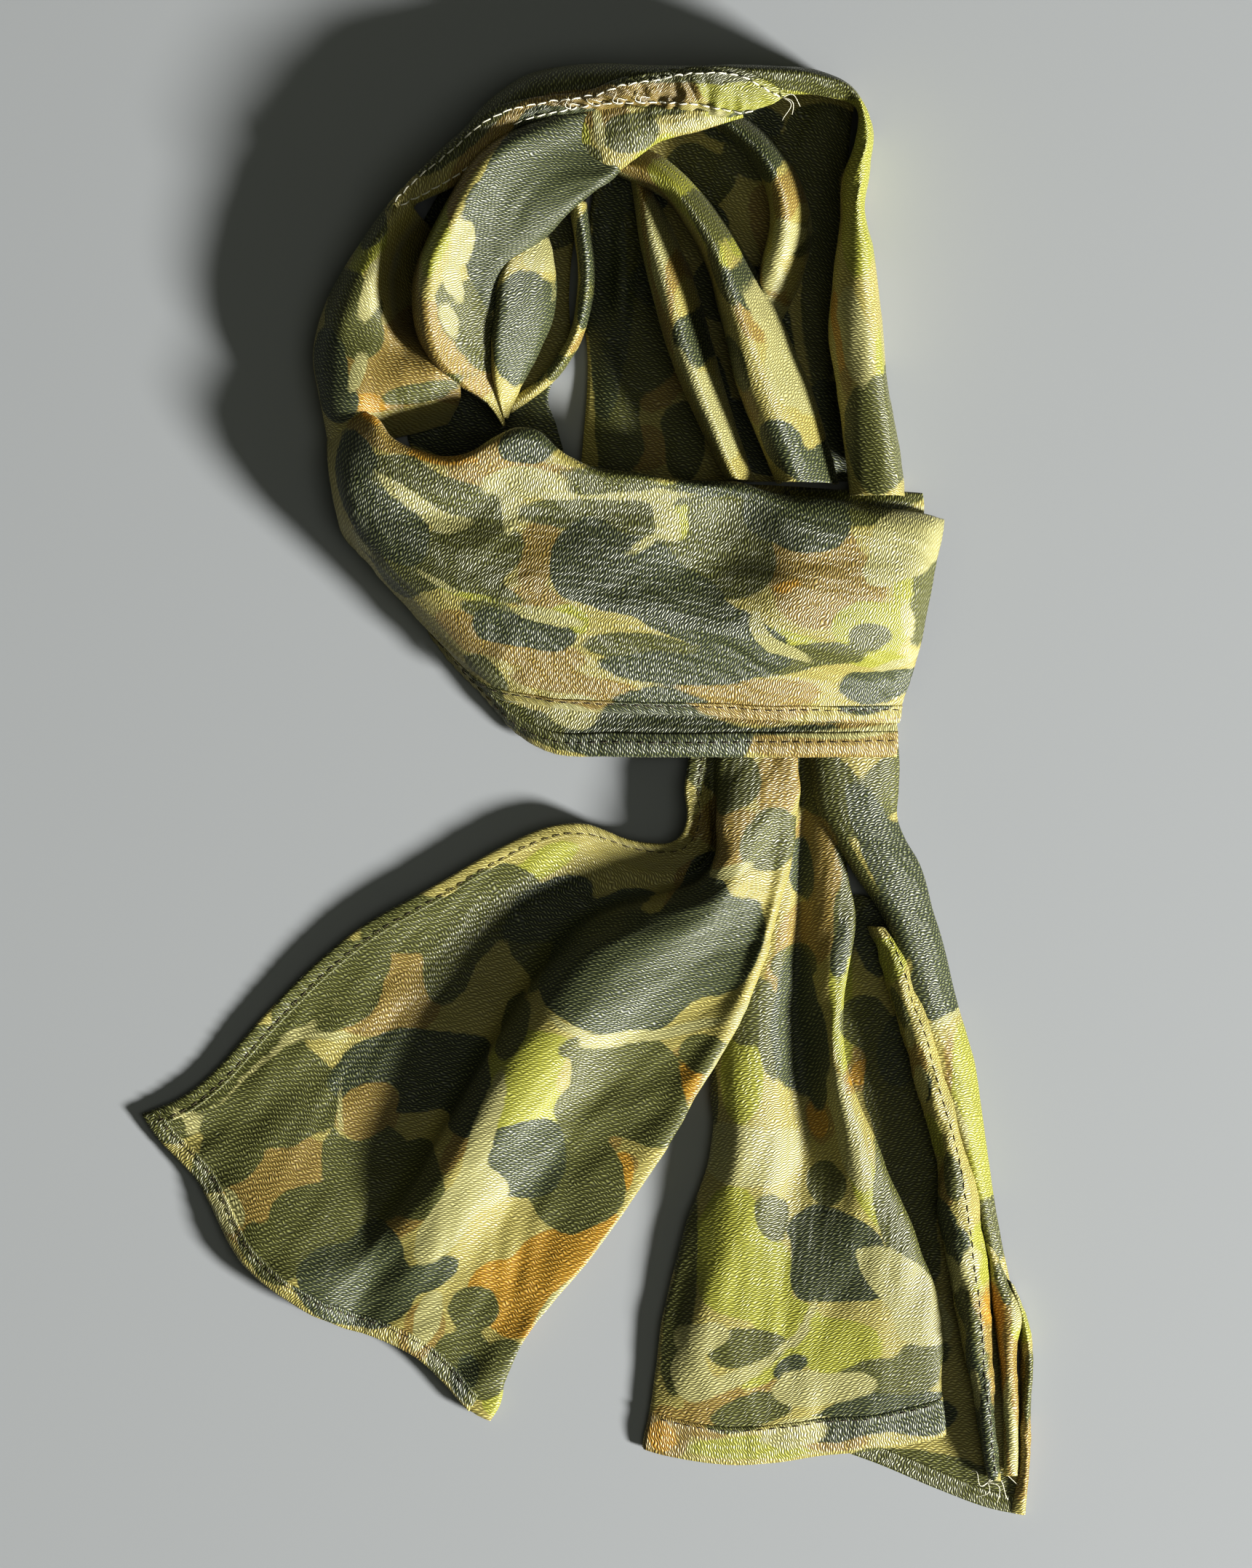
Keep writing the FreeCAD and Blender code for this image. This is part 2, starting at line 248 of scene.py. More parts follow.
def loft(rails, step=STEP):
    """A surface through rails that all run the same way: grid[across, along]."""
    longest = max(lengths(np.array(rail, float))[-1] for rail in rails)
    along = max(int(longest / step), 4) + 1
    rows = np.stack([spaced(rail, along) for rail in rails])
    gap_shaded = np.linalg.norm(np.diff(rows, axis=0), axis=-1).mean(axis=1)
    return through(rows, [max(2, int(round(gap / step))) for gap in gap_shaded])


# Cross-sections of a fold of cloth, as (across, up): 0 to 1 from its left edge to its right edge
# and from its foot to its crest.
ROUND = [(0.10, 0.0), (0.0, 0.30), (0.05, 0.66), (0.25, 0.93), (0.5, 1.0), (0.75, 0.93), (0.95, 0.66),
    (1.0, 0.30), (0.90, 0.0)]
LEAN_LEFT = [(0.08, 0.0), (0.0, 0.34), (0.05, 0.74), (0.2, 0.97), (0.38, 1.0), (0.65, 0.82), (0.9, 0.52),
    (1.0, 0.24), (0.93, 0.0)]
LEAN_RIGHT = [(0.07, 0.0), (0.0, 0.24), (0.10, 0.52), (0.35, 0.82), (0.62, 1.0), (0.8, 0.97),
    (0.95, 0.74), (1.0, 0.34), (0.92, 0.0)]


def arch(left, right, crest, foot, profile=ROUND, foot_right=None, step=STEP, profile_end=None,
         turn=(0, 1)):
    """A rounded fold between two edges in plan; crest and foot are heights along its length. With
    profile_end the cross-section changes along the length, by the shares in turn."""
    count = 24
    a = spaced(left, count)
    b = spaced(right, count)
    top = at_share(crest, count)
    low_a = at_share(foot, count)
    low_b = at_share(foot if foot_right is None else foot_right, count)
    share = np.clip(at_share(turn, count), 0, 1)
    rails = []
    for first, last in zip(profile, profile_end or profile):
        across = first[0] + (last[0] - first[0]) * share
        up = first[1] + (last[1] - first[1]) * share
        low = low_a + (low_b - low_a) * np.clip(2 * across - 1, 0, 1)
        place = a + (b - a) * across[:, None]
        rails.append(np.column_stack([place, low + (top - low) * up]))
    return loft(rails, step)


def normals_of(grid):
    """The unit normal at each place of a grid, facing up on the whole."""
    across = np.gradient(grid, axis=0)
    along = np.gradient(grid, axis=1)
    n = np.cross(across, along)
    n /= np.maximum(np.linalg.norm(n, axis=-1, keepdims=True), 1e-9)
    return n if n[..., 2].sum() >= 0 else -n


def noise(u, v, size_u, size_v, seed):
    """Smooth random heights from -1 to 1, with bumps of about size_u by size_v."""
    pick = np.random.default_rng(seed)
    table = pick.uniform(-1, 1, (64, 64))
    a, b = u / size_u, v / size_v
    i, j = np.floor(a).astype(int), np.floor(b).astype(int)
    f, g = a - i, b - j
    f, g = f * f * (3 - 2 * f), g * g * (3 - 2 * g)

    def corner(di, dj):
        return table[(i + di) % 64, (j + dj) % 64]

    low = corner(0, 0) * (1 - f) + corner(1, 0) * f
    high = corner(0, 1) * (1 - f) + corner(1, 1) * f
    return low * (1 - g) + high * g


def ruffle(grid, amount, wide=9.0, long=45.0, seed=1):
    """Small wrinkles that run along the cloth's folds, as satin keeps them."""
    u = lengths(grid)
    v = lengths(grid.swapaxes(0, 1)).swapaxes(0, 1)
    slant = 0.25 * v
    height = noise(u + slant, v, wide, long, seed)
    height = height + 0.5 * noise(u - slant, v, wide * 0.45, long * 0.5, seed + 50)
    height = height + 0.22 * noise(u, v, wide * 0.22, long * 0.14, seed + 90)
    rim = np.minimum(np.minimum(u, u[-1:] - u), np.minimum(v, v[:, -1:] - v))
    moved = grid + normals_of(grid) * (amount * height * np.clip(rim / 5, 0.25, 1))[..., None]
    moved[..., 2] = np.maximum(moved[..., 2], FLOOR_GAP)
    return moved


# The print, with painted light in some layers: rounded blotches, each layer over the one before. A blotch is
# (x, y, radius) or (x, y, radius along, radius across, turn in degrees), and each region of cloth has its own. The
# cream layer holds both the print's cream and painted highlights, the orange layer painted glow through the
# satin, and the inside region a darker mix as painted shade.

LAYERS = ["tan", "glow_orange", "lime", "olive", "slate", "cream_and_highlight"]

PRINT = {
    "hood": {
        "tan": [(-75, 161, 17), (-84, 153, 11), (-62, 160, 12), (-28, 252, 16, 4, 25),
            (-44, 239, 12, 4, 52), (-52, 224, 9, 4, 65), (-8, 257, 12, 4, 5), (-10, 262, 18, 5, 8),
            (20, 263, 24, 6, 3), (0, 276, 8, 4, 0), (-60, 172, 8, 13, 0), (-50, 152, 9),
            (5, 247, 4, 9, 15), (24, 200, 6, 12, 15), (31, 178, 6, 12, 20), (-68, 186, 4, 16, 0),
            (97, 168, 3, 22, 0), (26, 166, 6), (15, 236, 6)],
        "glow_orange": [(-84, 146, 8, 4, 0), (94, 174, 3, 16, 4), (-62, 214, 3, 10, -20)],
        "lime": [(58, 266, 17, 9, -5), (60, 256, 18, 4, 12), (-57, 210, 5, 15, -14),
            (-84, 206, 6, 12, -25), (-98, 176, 4, 12, 10), (103, 226, 8, 32, 0), (106, 250, 8, 12, 0),
            # painted highlight: the lime at (86, 268) stands for light catching the crown's top edge
            (86, 268, 22, 7, -8), (35, 228, 12, 4, -45), (46, 214, 14, 4, -55), (20, 243, 12, 3, 35),
            (-8, 204, 3, 12, 0), (113, 150, 5, 30, 0), (64, 180, 12, 3, -62), (36, 249, 12, 3, 15)],
        "olive": [(-45, 182, 6, 12, 0), (-92, 184, 11, 15, -20), (-88, 172, 9), (-84, 214, 9, 7, 40),
            (-52, 249, 26, 9, 42), (-30, 266, 24, 9, 30), (-8, 272, 40, 6, 3), (40, 272, 30, 4, 0),
            (20, 250, 11, 9, 0), (-43, 166, 9, 9, 0), (-38, 158, 8, 6, 0), (-22, 186, 9, 18, -10),
            (-1, 196, 5, 14, 0), (108, 134, 13, 23, 0), (80, 270, 22, 4, -8), (109, 226, 3, 16, 0),
            (97, 246, 3, 8, 0), (44, 199, 12, 4, -60), (117, 185, 4, 14, 0), (-2, 216, 4, 10, 10),
            (-10, 168, 12, 4, 55), (86, 272, 14, 4, -12), (-54, 182, 4, 12, 0), (-65, 150, 14, 4, 10)],
        "slate": [(-14, 237, 21), (-31, 225, 12), (0, 233, 13), (-24, 213, 15), (4, 245, 8, 10, 0),
            (-40, 200, 7, 22, 8), (-101, 160, 9, 15, 0), (-96, 146, 9), (-28, 168, 7, 20, -12),
            (-24, 184, 8, 12, 0), (36, 186, 2.5, 12, 14), (75, 138, 13, 12, 20), (84, 124, 10),
            (-16, 165, 6), (-25, 133, 14), (73, 236, 8, 16, 25), (60, 250, 10, 7, -20),
            (38, 221, 4, 8, 30), (-6, 248, 12, 8, 0)],
        # cream: partly the print's cream, partly painted highlight on the temple fold's lit rim and the band
        "cream_and_highlight": [(-47, 210, 4, 9, -8), (-51, 192, 2.4, 8, 4), (-55, 176, 2, 7, 14), (100, 174, 5, 17, 4),
            (104, 166, 4, 11, 0), (72, 160, 6, 18, 26), (62, 182, 5, 12, 26), (-82, 190, 2.4, 12, -16),
            (78, 210, 4, 14, -8), (25, 205, 4, 18, 14), (36, 160, 4, 14, 20), (40, 254, 12, 3, 12),
            (-88, 158, 3, 8, -20), (74, 226, 4, 10, 15)],
    },
    "brim": {
        "tan": [(4, 256, 12, 6, 0), (50, 250, 6)],
        "lime": [(58, 258, 15, 7, 10), (22, 240, 12, 3, 38), (-4, 246, 3, 8, 0)],
        "olive": [(15, 248, 11, 8, 10), (-3, 238, 6), (30, 258, 8, 3, 0)],
        "cream_and_highlight": [(40, 251, 11, 3, 14), (3, 250, 2, 7, 0)],
    },
    "folds": {
        "tan": [(64, 182, 7, 13, 28), (16, 238, 11, 6, -30), (26, 208, 6, 24, 14), (60, 146, 5, 9, 20),
            (30, 178, 4, 12, 14), (76, 226, 6, 10, 0), (68, 192, 5, 9, 0), (-2, 168, 5, 9, -30)],
        "lime": [(34, 226, 17, 5, -48), (50, 206, 10, 4, -60), (-20, 166, 5, 8, 20)],
        "olive": [(44, 218, 12, 4, -50), (52, 196, 4, 12, 25), (55, 162, 6, 12, 22), (-18, 178, 5, 10, 0),
            (0, 190, 4, 12, 0), (-12, 160, 6, 4, 40), (66, 246, 8, 5, -40), (80, 208, 3, 8, 0)],
        "slate": [(61, 190, 4, 12, 32), (40, 171, 5, 10, 15), (62, 240, 12, 10, 0), (56, 250, 8),
            (73, 131, 8, 11, 25), (90, 120, 12, 8, 0), (-25, 176, 12, 22, 0), (-28, 164, 6, 14, -10),
            (-1, 208, 4, 14, 0), (0, 178, 3, 8, 0)],
        "cream_and_highlight": [(-18, 203, 7, 6, 15), (68, 178, 3.5, 15, 30), (82, 148, 4, 13, 24),
            (26, 206, 3, 22, 14), (76, 211, 6, 8, 0), (70, 196, 4, 8, 10), (38, 160, 2, 8, 16),
            (-14, 192, 2, 8, 0), (48, 143, 4, 17, 20), (74, 156, 4, 12, 24)],
    },
    # Inside the hood the mix is mostly olive and slate, darker than elsewhere: painted shade for the hood's deep
    # hollow.
    "inside": {
        "tan": [(66, 216, 6, 15, 10), (24, 160, 10, 16, 0), (20, 130, 9), (-72, 160, 18, 10, 0),
            (74, 200, 6, 10, 0)],
        "olive": [(88, 200, 8, 50, 0), (92, 250, 16, 14, 0), (40, 232, 14), (64, 244, 12), (50, 190, 14),
            (15, 205, 6, 26, 0), (10, 140, 9, 24, 0), (34, 132, 8, 16, 0), (80, 225, 9, 18, 0),
            (-20, 230, 24), (-40, 150, 12), (22, 178, 12, 26, 0)],
        "slate": [(-16, 142, 8, 16, 0), (90, 132, 10, 24, 0), (66, 170, 12, 30, 10), (46, 214, 8),
            (5, 185, 9, 44, 0), (58, 256, 18, 8, 0), (24, 192, 8, 10, 10), (70, 134, 22, 16, 0),
            (-50, 140, 26, 14, 0), (-60, 210, 16, 30, 0), (18, 232, 12), (44, 150, 8, 20, 15)],
    },
    "wrap": {
        "tan": [(-70, 132, 32, 5, -12), (-19, 90, 9, 12, 0), (92, 76, 21, 15, 0), (74, 84, 9),
            (-48, 58, 15, 8, -22), (-24, 51, 22, 7, -6), (-8, 37, 24, 5, -6), (60, 33, 24, 6, 0),
            (92, 18, 34, 8, 0), (-18, 117, 30, 7, 0), (-30, 128, 20, 7, 20), (42, 37, 14, 4, 0),
            (92, 88, 10), (-20, 74, 16, 4, -12)],
        "glow_orange": [(-84, 141, 11, 3, -10), (-56, 126, 14, 2.5, 0), (76, 78, 6, 2, 20)],
        "lime": [(-48, 76, 16, 3, -14), (105, 60, 13, 11, 0), (119, 74, 4, 8, 0), (10, 112, 26, 5, 0),
            (34, 98, 5, 8, 20), (104, 47, 12, 3, -6), (-6, 65, 7), (44, 107, 10, 5, 0),
            (76, 56, 12, 5, -25)],
        "olive": [(-74, 121, 14, 6, -10), (-54, 111, 22, 6.5, -14), (-40, 106, 8, 6, 0),
            (-46, 91, 20, 11, 0), (-60, 86, 8), (0, 105, 25, 7, 2), (18, 101, 10), (5, 116, 14, 4.5, 0),
            (50, 98, 13, 20, 0), (36, 84, 14, 9, -20), (56, 86, 15, 14, 0), (105, 57, 7, 5, 0),
            (22, 53, 24, 7, -4), (86, 50, 16, 5, -4), (95, 104, 26, 6, -4), (-76, 78, 10), (-66, 84, 9),
            (-44, 41, 10, 5, -40), (34, 111, 14, 3, 0), (-34, 66, 18, 5, -12), (-84, 88, 12, 4, -42),
            (64, 45, 16, 5, 0), (126, 74, 4, 14, 10), (-46, 80, 24, 3.5, -14), (104, 112, 26, 5, -2),
            (-22, 22, 20, 7, -20), (122, 58, 4, 12, 0), (26, 120, 30, 2, -4), (-86, 112, 8, 7, 0)],
        "slate": [(-80, 102, 17, 12, -30), (-92, 116, 7, 14, 15), (-70, 94, 9), (0, 89, 13), (-4, 82, 8),
            (15, 82, 18, 14, 0), (34, 71, 20, 11, -22), (54, 61, 20, 8, -14), (82, 99, 16, 9, -3),
            (66, 103, 9), (-24, 60, 20, 8, -4), (-38, 62, 8), (30, 45, 28, 7, -3), (-88, 127, 8, 5, -40),
            (58, 49, 16, 8, 0), (22, 30, 18, 6, 0), (104, 35, 14, 7, 0), (-23, 131, 11, 8, 10),
            (46, 114, 14, 5, -5), (14, 18, 26, 9, 0), (44, 18, 17, 9, 0), (78, 24, 16, 2, 0)],
        # cream: partly the print's thin cream lines, partly painted highlight on the lit upper roll and right end
        "cream_and_highlight": [(119, 92, 13), (111, 83, 7), (127, 98, 6), (29, 102, 4, 9, 20), (66, 61, 2.5, 7, 15),
            (74, 52, 9, 2.6, -35), (-66, 107, 9, 2.2, -38), (-53, 102, 7, 2.2, 0), (-31, 104, 3, 7, 0),
            (-24, 117, 18, 5, 3), (98, 22, 24, 2, 0), (-8, 28, 10, 5, 0), (-14, 67, 14, 3.4, -14),
            (118, 62, 2.0, 7, 0), (-90, 91, 6, 1.6, -40), (12, 111, 26, 1.3, 0), (-58, 79, 9, 1.6, -28),
            (-76, 116, 6, 1.6, -40), (20, 93, 7, 2, 35), (112, 44, 8, 2, 12)],
    },
    "left": {
        "tan": [(-90, -126, 13), (-73, -80, 13, 17, 0), (-88, -92, 12, 7, 0), (-62, -68, 10, 5, 0),
            (-115, -150, 16, 14, 0), (-131, -163, 10, 12, 30), (52, -16, 14, 12, 0), (72, 2, 9, 12, 0),
            (34, -110, 8, 16, -30), (7, -132, 4, 7, 0), (14, -144, 4), (-135, -152, 8),
            (-66, -208, 8, 12, -20), (36, -36, 9, 5, 20), (-75, -166, 13, 6, 25), (-46, -128, 5, 18, -30),
            (-30, -88, 4, 12, -30)],
        # painted glow: the large orange patch low on the tail is light coming through the satin
        "glow_orange": [(-18, -186, 27, 14, 42), (-38, -194, 11), (-2, -172, 14, 9, 45), (36, -108, 6, 18, -32),
            (11, -146, 5, 7, 0), (-30, -200, 12)],
        "lime": [(-24, -102, 14, 14, 0), (-26, -118, 11, 13, 0), (-14, -96, 9, 8, 0),
            (-20, -30, 14, 6, 30), (-15, -122, 6, 12, 0), (-38, -238, 6), (64, -84, 4, 18, -28),
            (-112, -90, 14, 5, 40)],
        "olive": [(-152, -114, 14, 6, 42), (-162, -127, 8), (-108, -70, 14, 5, 40), (-146, -147, 8),
            (-127, -174, 10, 6, -50), (-36, -44, 15), (-54, -56, 15), (-74, -53, 13), (-100, -78, 17),
            (-110, -86, 12), (-90, -68, 9), (-128, -106, 15), (-122, -120, 20), (-143, -124, 12),
            (-140, -140, 12), (-108, -122, 12), (-58, -74, 9, 14, -20), (-111, -168, 14), (-119, -178, 9),
            (-99, -166, 10), (-86, -160, 14, 8, 20), (-66, -150, 12, 14, 0), (-8, -150, 20),
            (14, -112, 20), (24, -124, 12), (-2, -124, 11), (-34, -221, 9), (-52, -218, 10),
            (-44, -228, 9), (53, 4, 12, 11, 0), (70, -18, 10, 12, 0), (-29, -90, 8, 12, -30),
            (-90, -146, 16), (-22, -62, 14), (44, -100, 10, 8, 0), (42, 12, 8), (-164, -126, 9),
            (4, -96, 14, 6, 0), (-46, -200, 10, 8, 0), (-70, -52, 12, 8, 30), (30, -150, 8, 14, -40)],
        "slate": [(14, -68, 26, 25, 0), (38, -60, 20, 20, 0), (54, -60, 11, 20, -20), (-6, -68, 14),
            (-72, -112, 33, 16, 6), (-48, -116, 14), (-27, -142, 16, 16, 0), (-20, -134, 9),
            (-87, -191, 19, 17, 0), (-101, -187, 12), (-62, -186, 10, 6, 30), (44, -40, 12),
            (-20, -50, 20, 10, 30), (-50, -226, 4, 8, 0), (-82, -176, 10)],
        # cream: partly the print's thin cream lines, partly painted highlight along the lit crest
        "cream_and_highlight": [(-54, -164, 20, 8, 56), (-40, -152, 8, 8, 0), (-39, -132, 5, 16, -20),
            (-64, -204, 5, 12, -20), (-34, -116, 3, 12, -20), (-128, -108, 24, 1.1, 40),
            (-103, -98, 8, 1.1, 0), (-5, -88, 10, 1.6, -35), (14, -94, 12, 1.7, 5),
            (36, -90, 13, 1.4, 14), (-100, -126, 1.0, 10, 0), (-140, -162, 5, 8, 30), (56, -28, 9, 3, 15),
            (-158, -128, 2.4, 5, 30), (57, -92, 24, 1.8, 64), (35, -128, 20, 1.8, 61),
            (8, -170, 24, 2, 55), (-14, -197, 12, 2, 50)],
    },
    "right": {
        "tan": [(141, -122, 4, 28, 10), (91, -34, 10, 19, 6), (82, -56, 12, 12, 0), (85, -18, 8, 10, 0),
            (86, -128, 7, 9, 0), (104, -106, 9, 9, 0), (46, -236, 12, 12, 0), (27, -248, 10),
            (94, -248, 14, 5, 0), (72, -74, 6, 10, 0), (66, -232, 8, 5, 20), (128, -112, 4, 12, 15)],
        "glow_orange": [(85, -128, 5, 7, 0), (26, -248, 6), (104, -108, 5)],
        "lime": [(58, -108, 8, 18, 0), (55, -176, 17, 26, 0), (64, -184, 13, 17, 0),
            (92, -212, 20, 10, 0), (76, -206, 13), (97, -76, 4, 30, 0), (60, -252, 24, 5, 0),
            (106, -148, 5, 20, 24), (146, -128, 6, 36, 10), (118, 4, 2, 10, 0), (66, -224, 10, 3.5, 25)],
        "olive": [(60, -84, 10, 13, 0), (70, -96, 5, 14, 0), (90, -150, 9, 8, 0), (60, -214, 15, 8, 5),
            (98, -50, 6, 14, 0), (105, -88, 9, 10, 0), (122, -165, 10, 26, 18), (122, -140, 10, 26, 15),
            (60, -238, 16, 7, 12), (150, -170, 8, 14, 0), (125, -262, 28, 9, -10), (152, -272, 12),
            (43, -116, 6, 15, 0), (36, -180, 5, 24, 0), (30, -214, 5, 20, 0), (164, -205, 5, 18, 0),
            (112, -226, 20, 9, 0), (128, -216, 9, 5, 0), (84, 2, 10, 12, 0), (78, -68, 9, 7, 0),
            (116, -120, 10, 30, 12), (94, 0, 9, 18, 30), (113, 2, 8, 12, 0), (104, -36, 5, 20, 28),
            (70, -162, 5, 10, 20), (128, -10, 8, 12, 20), (151, -120, 3.5, 26, 12)],
        "slate": [(80, -31, 4.5, 12, 6), (96, -178, 19, 17, 0), (88, -166, 12, 8, 0), (107, -184, 11),
            (84, -186, 8), (108, -14, 6, 18, 28), (118, -30, 9, 18, 25), (128, -54, 8, 20, 22),
            (132, -76, 9, 13, 10), (108, -238, 18, 7, 4), (128, -240, 12, 8, 0), (78, -92, 9, 28, 0),
            (86, -104, 6, 20, 0), (92, -244, 12, 5, 0), (148, -200, 5, 18, 6), (112, -56, 10, 16, 0),
            (118, -100, 9, 14, 0), (96, -60, 3, 12, 0), (76, -222, 8, 4, 30)],
        # cream: partly the print's cream, partly painted highlight on the lit ridges
        "cream_and_highlight": [(57, -138, 18, 12, 0), (70, -140, 8, 9, 0), (97, -122, 5, 18, 14),
            (102, -140, 4, 12, 26), (122, -192, 10, 22, 30), (128, -206, 9, 7, 0), (112, -184, 4, 12, 40),
            (42, -209, 12, 6, 0), (38, -224, 8, 10, 0), (88, -229, 20, 7, 6), (78, -246, 13, 5, 10),
            (134, -89, 10, 1.6, 24), (84, -200, 1.6, 7, -20), (75, -213, 6, 1.2, 30),
            (54, -226, 12, 2.4, 20), (141, -128, 1.6, 12, 12)],
    },
    "strip": {
        "tan": [(124, -104, 5, 8, 0), (136, -150, 5, 8, 0), (150, -206, 3, 14, 0), (158, -222, 6, 34, 0),
            (164, -250, 6, 24, 0)],
        "glow_orange": [(157, -210, 2, 18, 0), (152, -196, 2, 8, 0)],
        "lime": [(112, -66, 8, 10, 0), (148, -178, 4, 12, 0), (166, -202, 4, 9, 0),
            (131, -132, 4, 10, 12)],
        "olive": [(118, -84, 4, 8, 15), (139, -146, 4, 9, 12), (143, -196, 4, 12, 8),
            (148, -216, 3, 12, 0), (168, -228, 3, 14, 0), (158, -188, 3, 8, 20)],
        "slate": [(134, -164, 6, 9, 0), (141, -176, 5, 9, 0), (149, -246, 5, 22, 0), (128, -112, 3, 6, 0),
            (144, -222, 3, 14, 0)],
        "cream_and_highlight": [(126, -112, 3.5, 7, 0), (137, -186, 5, 8, 0), (146, -182, 3, 8, 0),
            (121, -94, 2.4, 5, 0), (160, -244, 2.6, 20, 0), (145, -230, 3, 8, 0), (163, -196, 2, 9, 10)],
    },
}

# Places that the two darkest layers leave bare.
BARE = {"hood": [(-48, 235, 11, 3.2, 52)],
        "left": [(-90, -126, 10), (-84, -122, 6), (-95, -132, 6)]}


def blotch_distance(x, y, blotches):
    """How far each place is outside the blotches, in millimetres; negative inside. Blotches that
    meet run into each other with rounded corners."""
    nearness = np.full(x.shape, -FAR / MELT)
    for cx, cy, rx, *rest in blotches:
        ry, turn = (rest[0], math.radians(rest[1])) if rest else (rx, 0.0)
        along = (x - cx) * math.cos(turn) + (y - cy) * math.sin(turn)
        across = (y - cy) * math.cos(turn) - (x - cx) * math.sin(turn)
        reach = np.sqrt((along / rx) ** 2 + (across / ry) ** 2)
        nearness = np.logaddexp(nearness, (1 - reach) * min(rx, ry) / MELT)
    return -MELT * nearness


def add_print(mesh, region):
    """Stores each layer's distances on the mesh, for the cloth material to draw."""
    co = np.empty(len(mesh.vertices) * 3)
    mesh.vertices.foreach_get("co", co)
    x, y, z = co.reshape(-1, 3).T / MM
    slide = SHEAR * (z - np.percentile(z, 80))
    x = x + slide + 1.7 * noise(x, y, 13.0, 13.0, 201)
    y = y + slide + 1.7 * noise(x, y, 13.0, 13.0, 202)
    for layer in LAYERS:
        far = blotch_distance(x, y, PRINT[region].get(layer, []))
        if layer in ("olive", "slate") and region in BARE:
            far = np.maximum(far, -blotch_distance(x, y, BARE[region]))
        attribute = mesh.attributes.new(layer, "FLOAT", "POINT")
        attribute.data.foreach_set("value", far.astype(np.float32))


# Materials

def rgb(r, g, b):
    """A colour given as seen on a screen, from 0 to 1, as light."""
    return tuple(c / 12.92 if c <= 0.04045 else ((c + 0.055) / 1.055) ** 2.4 for c in (r, g, b)) + (1.0,)


COLOURS = {
    "base": rgb(0.78, 0.72, 0.40),
    "tan": rgb(0.68, 0.56, 0.25),
    # painted glow: the orange of light coming through the thin satin
    "glow_orange": rgb(0.84, 0.62, 0.06),
    "lime": rgb(0.74, 0.735, 0.24),
    "olive": rgb(0.35, 0.355, 0.05),
    "slate": rgb(0.20, 0.245, 0.085),
    # the print's cream, also used for painted highlights where light catches crests and rims
    "cream_and_highlight": rgb(0.80, 0.77, 0.53),
}


class Nodes:
    """Short ways to add nodes to a material."""

    def __init__(self, name):
        self.material = bpy.data.materials.new(name)
        self.material.use_nodes = True
        self.tree = self.material.node_tree
        self.shader = self.tree.nodes["Principled BSDF"]

    def add(self, kind, inputs=None, **settings):
        node = self.tree.nodes.new(kind)
        for key, value in settings.items():
            setattr(node, key, value)
        for key, value in (inputs or {}).items():
            if isinstance(value, bpy.types.NodeSocket):
                self.tree.links.new(value, node.inputs[key])
            else:
                node.inputs[key].default_value = value
        return node

    def math(self, kind, a, b=0.0, c=0.0, clamp=False):
        return self.add("ShaderNodeMath", {0: a, 1: b, 2: c}, operation=kind, use_clamp=clamp).outputs[0]

    def mix(self, factor, a, b, kind="MIX"):
        node = self.add("ShaderNodeMix", {0: factor, 6: a, 7: b}, data_type="RGBA", blend_type=kind)
        return node.outputs[2]

    def link(self, output, key):
        self.tree.links.new(output, self.shader.inputs[key])


FLOAT_PITCH = 0.95     # from one raised float of the crepe to the one beside it
FLOAT_LONG = 2.9       # length of a float
FLOAT_SLANT = 0.36
FLOAT_BEND = 0.15
STAGGER = 2.3          # how far each float's dip is moved on from its neighbour's, in radians
DIP = 0.34             # how far a float sinks where it dips
DRIFT_SCALE = 160.0    # bumps per metre in the unevenness of the weave
DRIFT_REACH = 0.0030   # metres
PRINT_WAVER = 1.6      # how far the print's edges wander
PRINT_EDGE = -1.6      # how sharply one colour of the print gives way to the next
DARKER = 0.78          # the print's darker mottling
PAINTED_GLINT_AMOUNT = 0.40           # how much painted highlight lies on the top of a float
WEAVE_HEIGHT = 0.00035     # metres
# painted shade: the colour is darkened towards this in the gaps between the floats
PAINTED_GAP_SHADE = (0.16, 0.17, 0.08, 1)
# painted highlight: the pale colour of the painted sheen on the tops of the floats
PAINTED_SHEEN_COLOUR = rgb(0.86, 0.87, 0.62)


def crepe_weave(n, uv):
    """The crepe's raised floats, as heights from 0 to 1: slanted, slightly wavy floats side by side,
    each of which dips under at a different place from its neighbours."""
    drift = n.add("ShaderNodeTexNoise", {"Vector": uv, "Scale": DRIFT_SCALE, "Detail": 1.0}).outputs["Color"]
    centred = n.add("ShaderNodeVectorMath", {0: drift, 1: (0.5, 0.5, 0.5)}, operation="SUBTRACT")
    shift = n.add("ShaderNodeVectorMath", {0: centred.outputs[0], 3: DRIFT_REACH}, operation="SCALE")
    moved = n.add("ShaderNodeVectorMath", {0: uv, 1: shift.outputs[0]}, operation="ADD").outputs[0]
    parts = n.add("ShaderNodeSeparateXYZ", {0: moved})
    x = n.math("MULTIPLY", parts.outputs[0], 1000.0)
    y = n.math("MULTIPLY_ADD", parts.outputs[1], 1000.0, n.math("MULTIPLY", x, FLOAT_SLANT))
    turns = n.math("MULTIPLY", x, 2 * math.pi / FLOAT_LONG)
    y = n.math("MULTIPLY_ADD", n.math("SINE", turns), FLOAT_BEND, y)
    place = n.math("DIVIDE", y, FLOAT_PITCH)
    ridge = n.math("ABSOLUTE", n.math("SINE", n.math("MULTIPLY", place, math.pi)))
    stagger = n.math("MULTIPLY", n.math("FLOOR", place), STAGGER)
    dip = n.math("MULTIPLY_ADD", n.math("SINE", n.math("ADD", turns, stagger)), DIP, 1 - DIP)
    return n.math("MULTIPLY", ridge, dip)


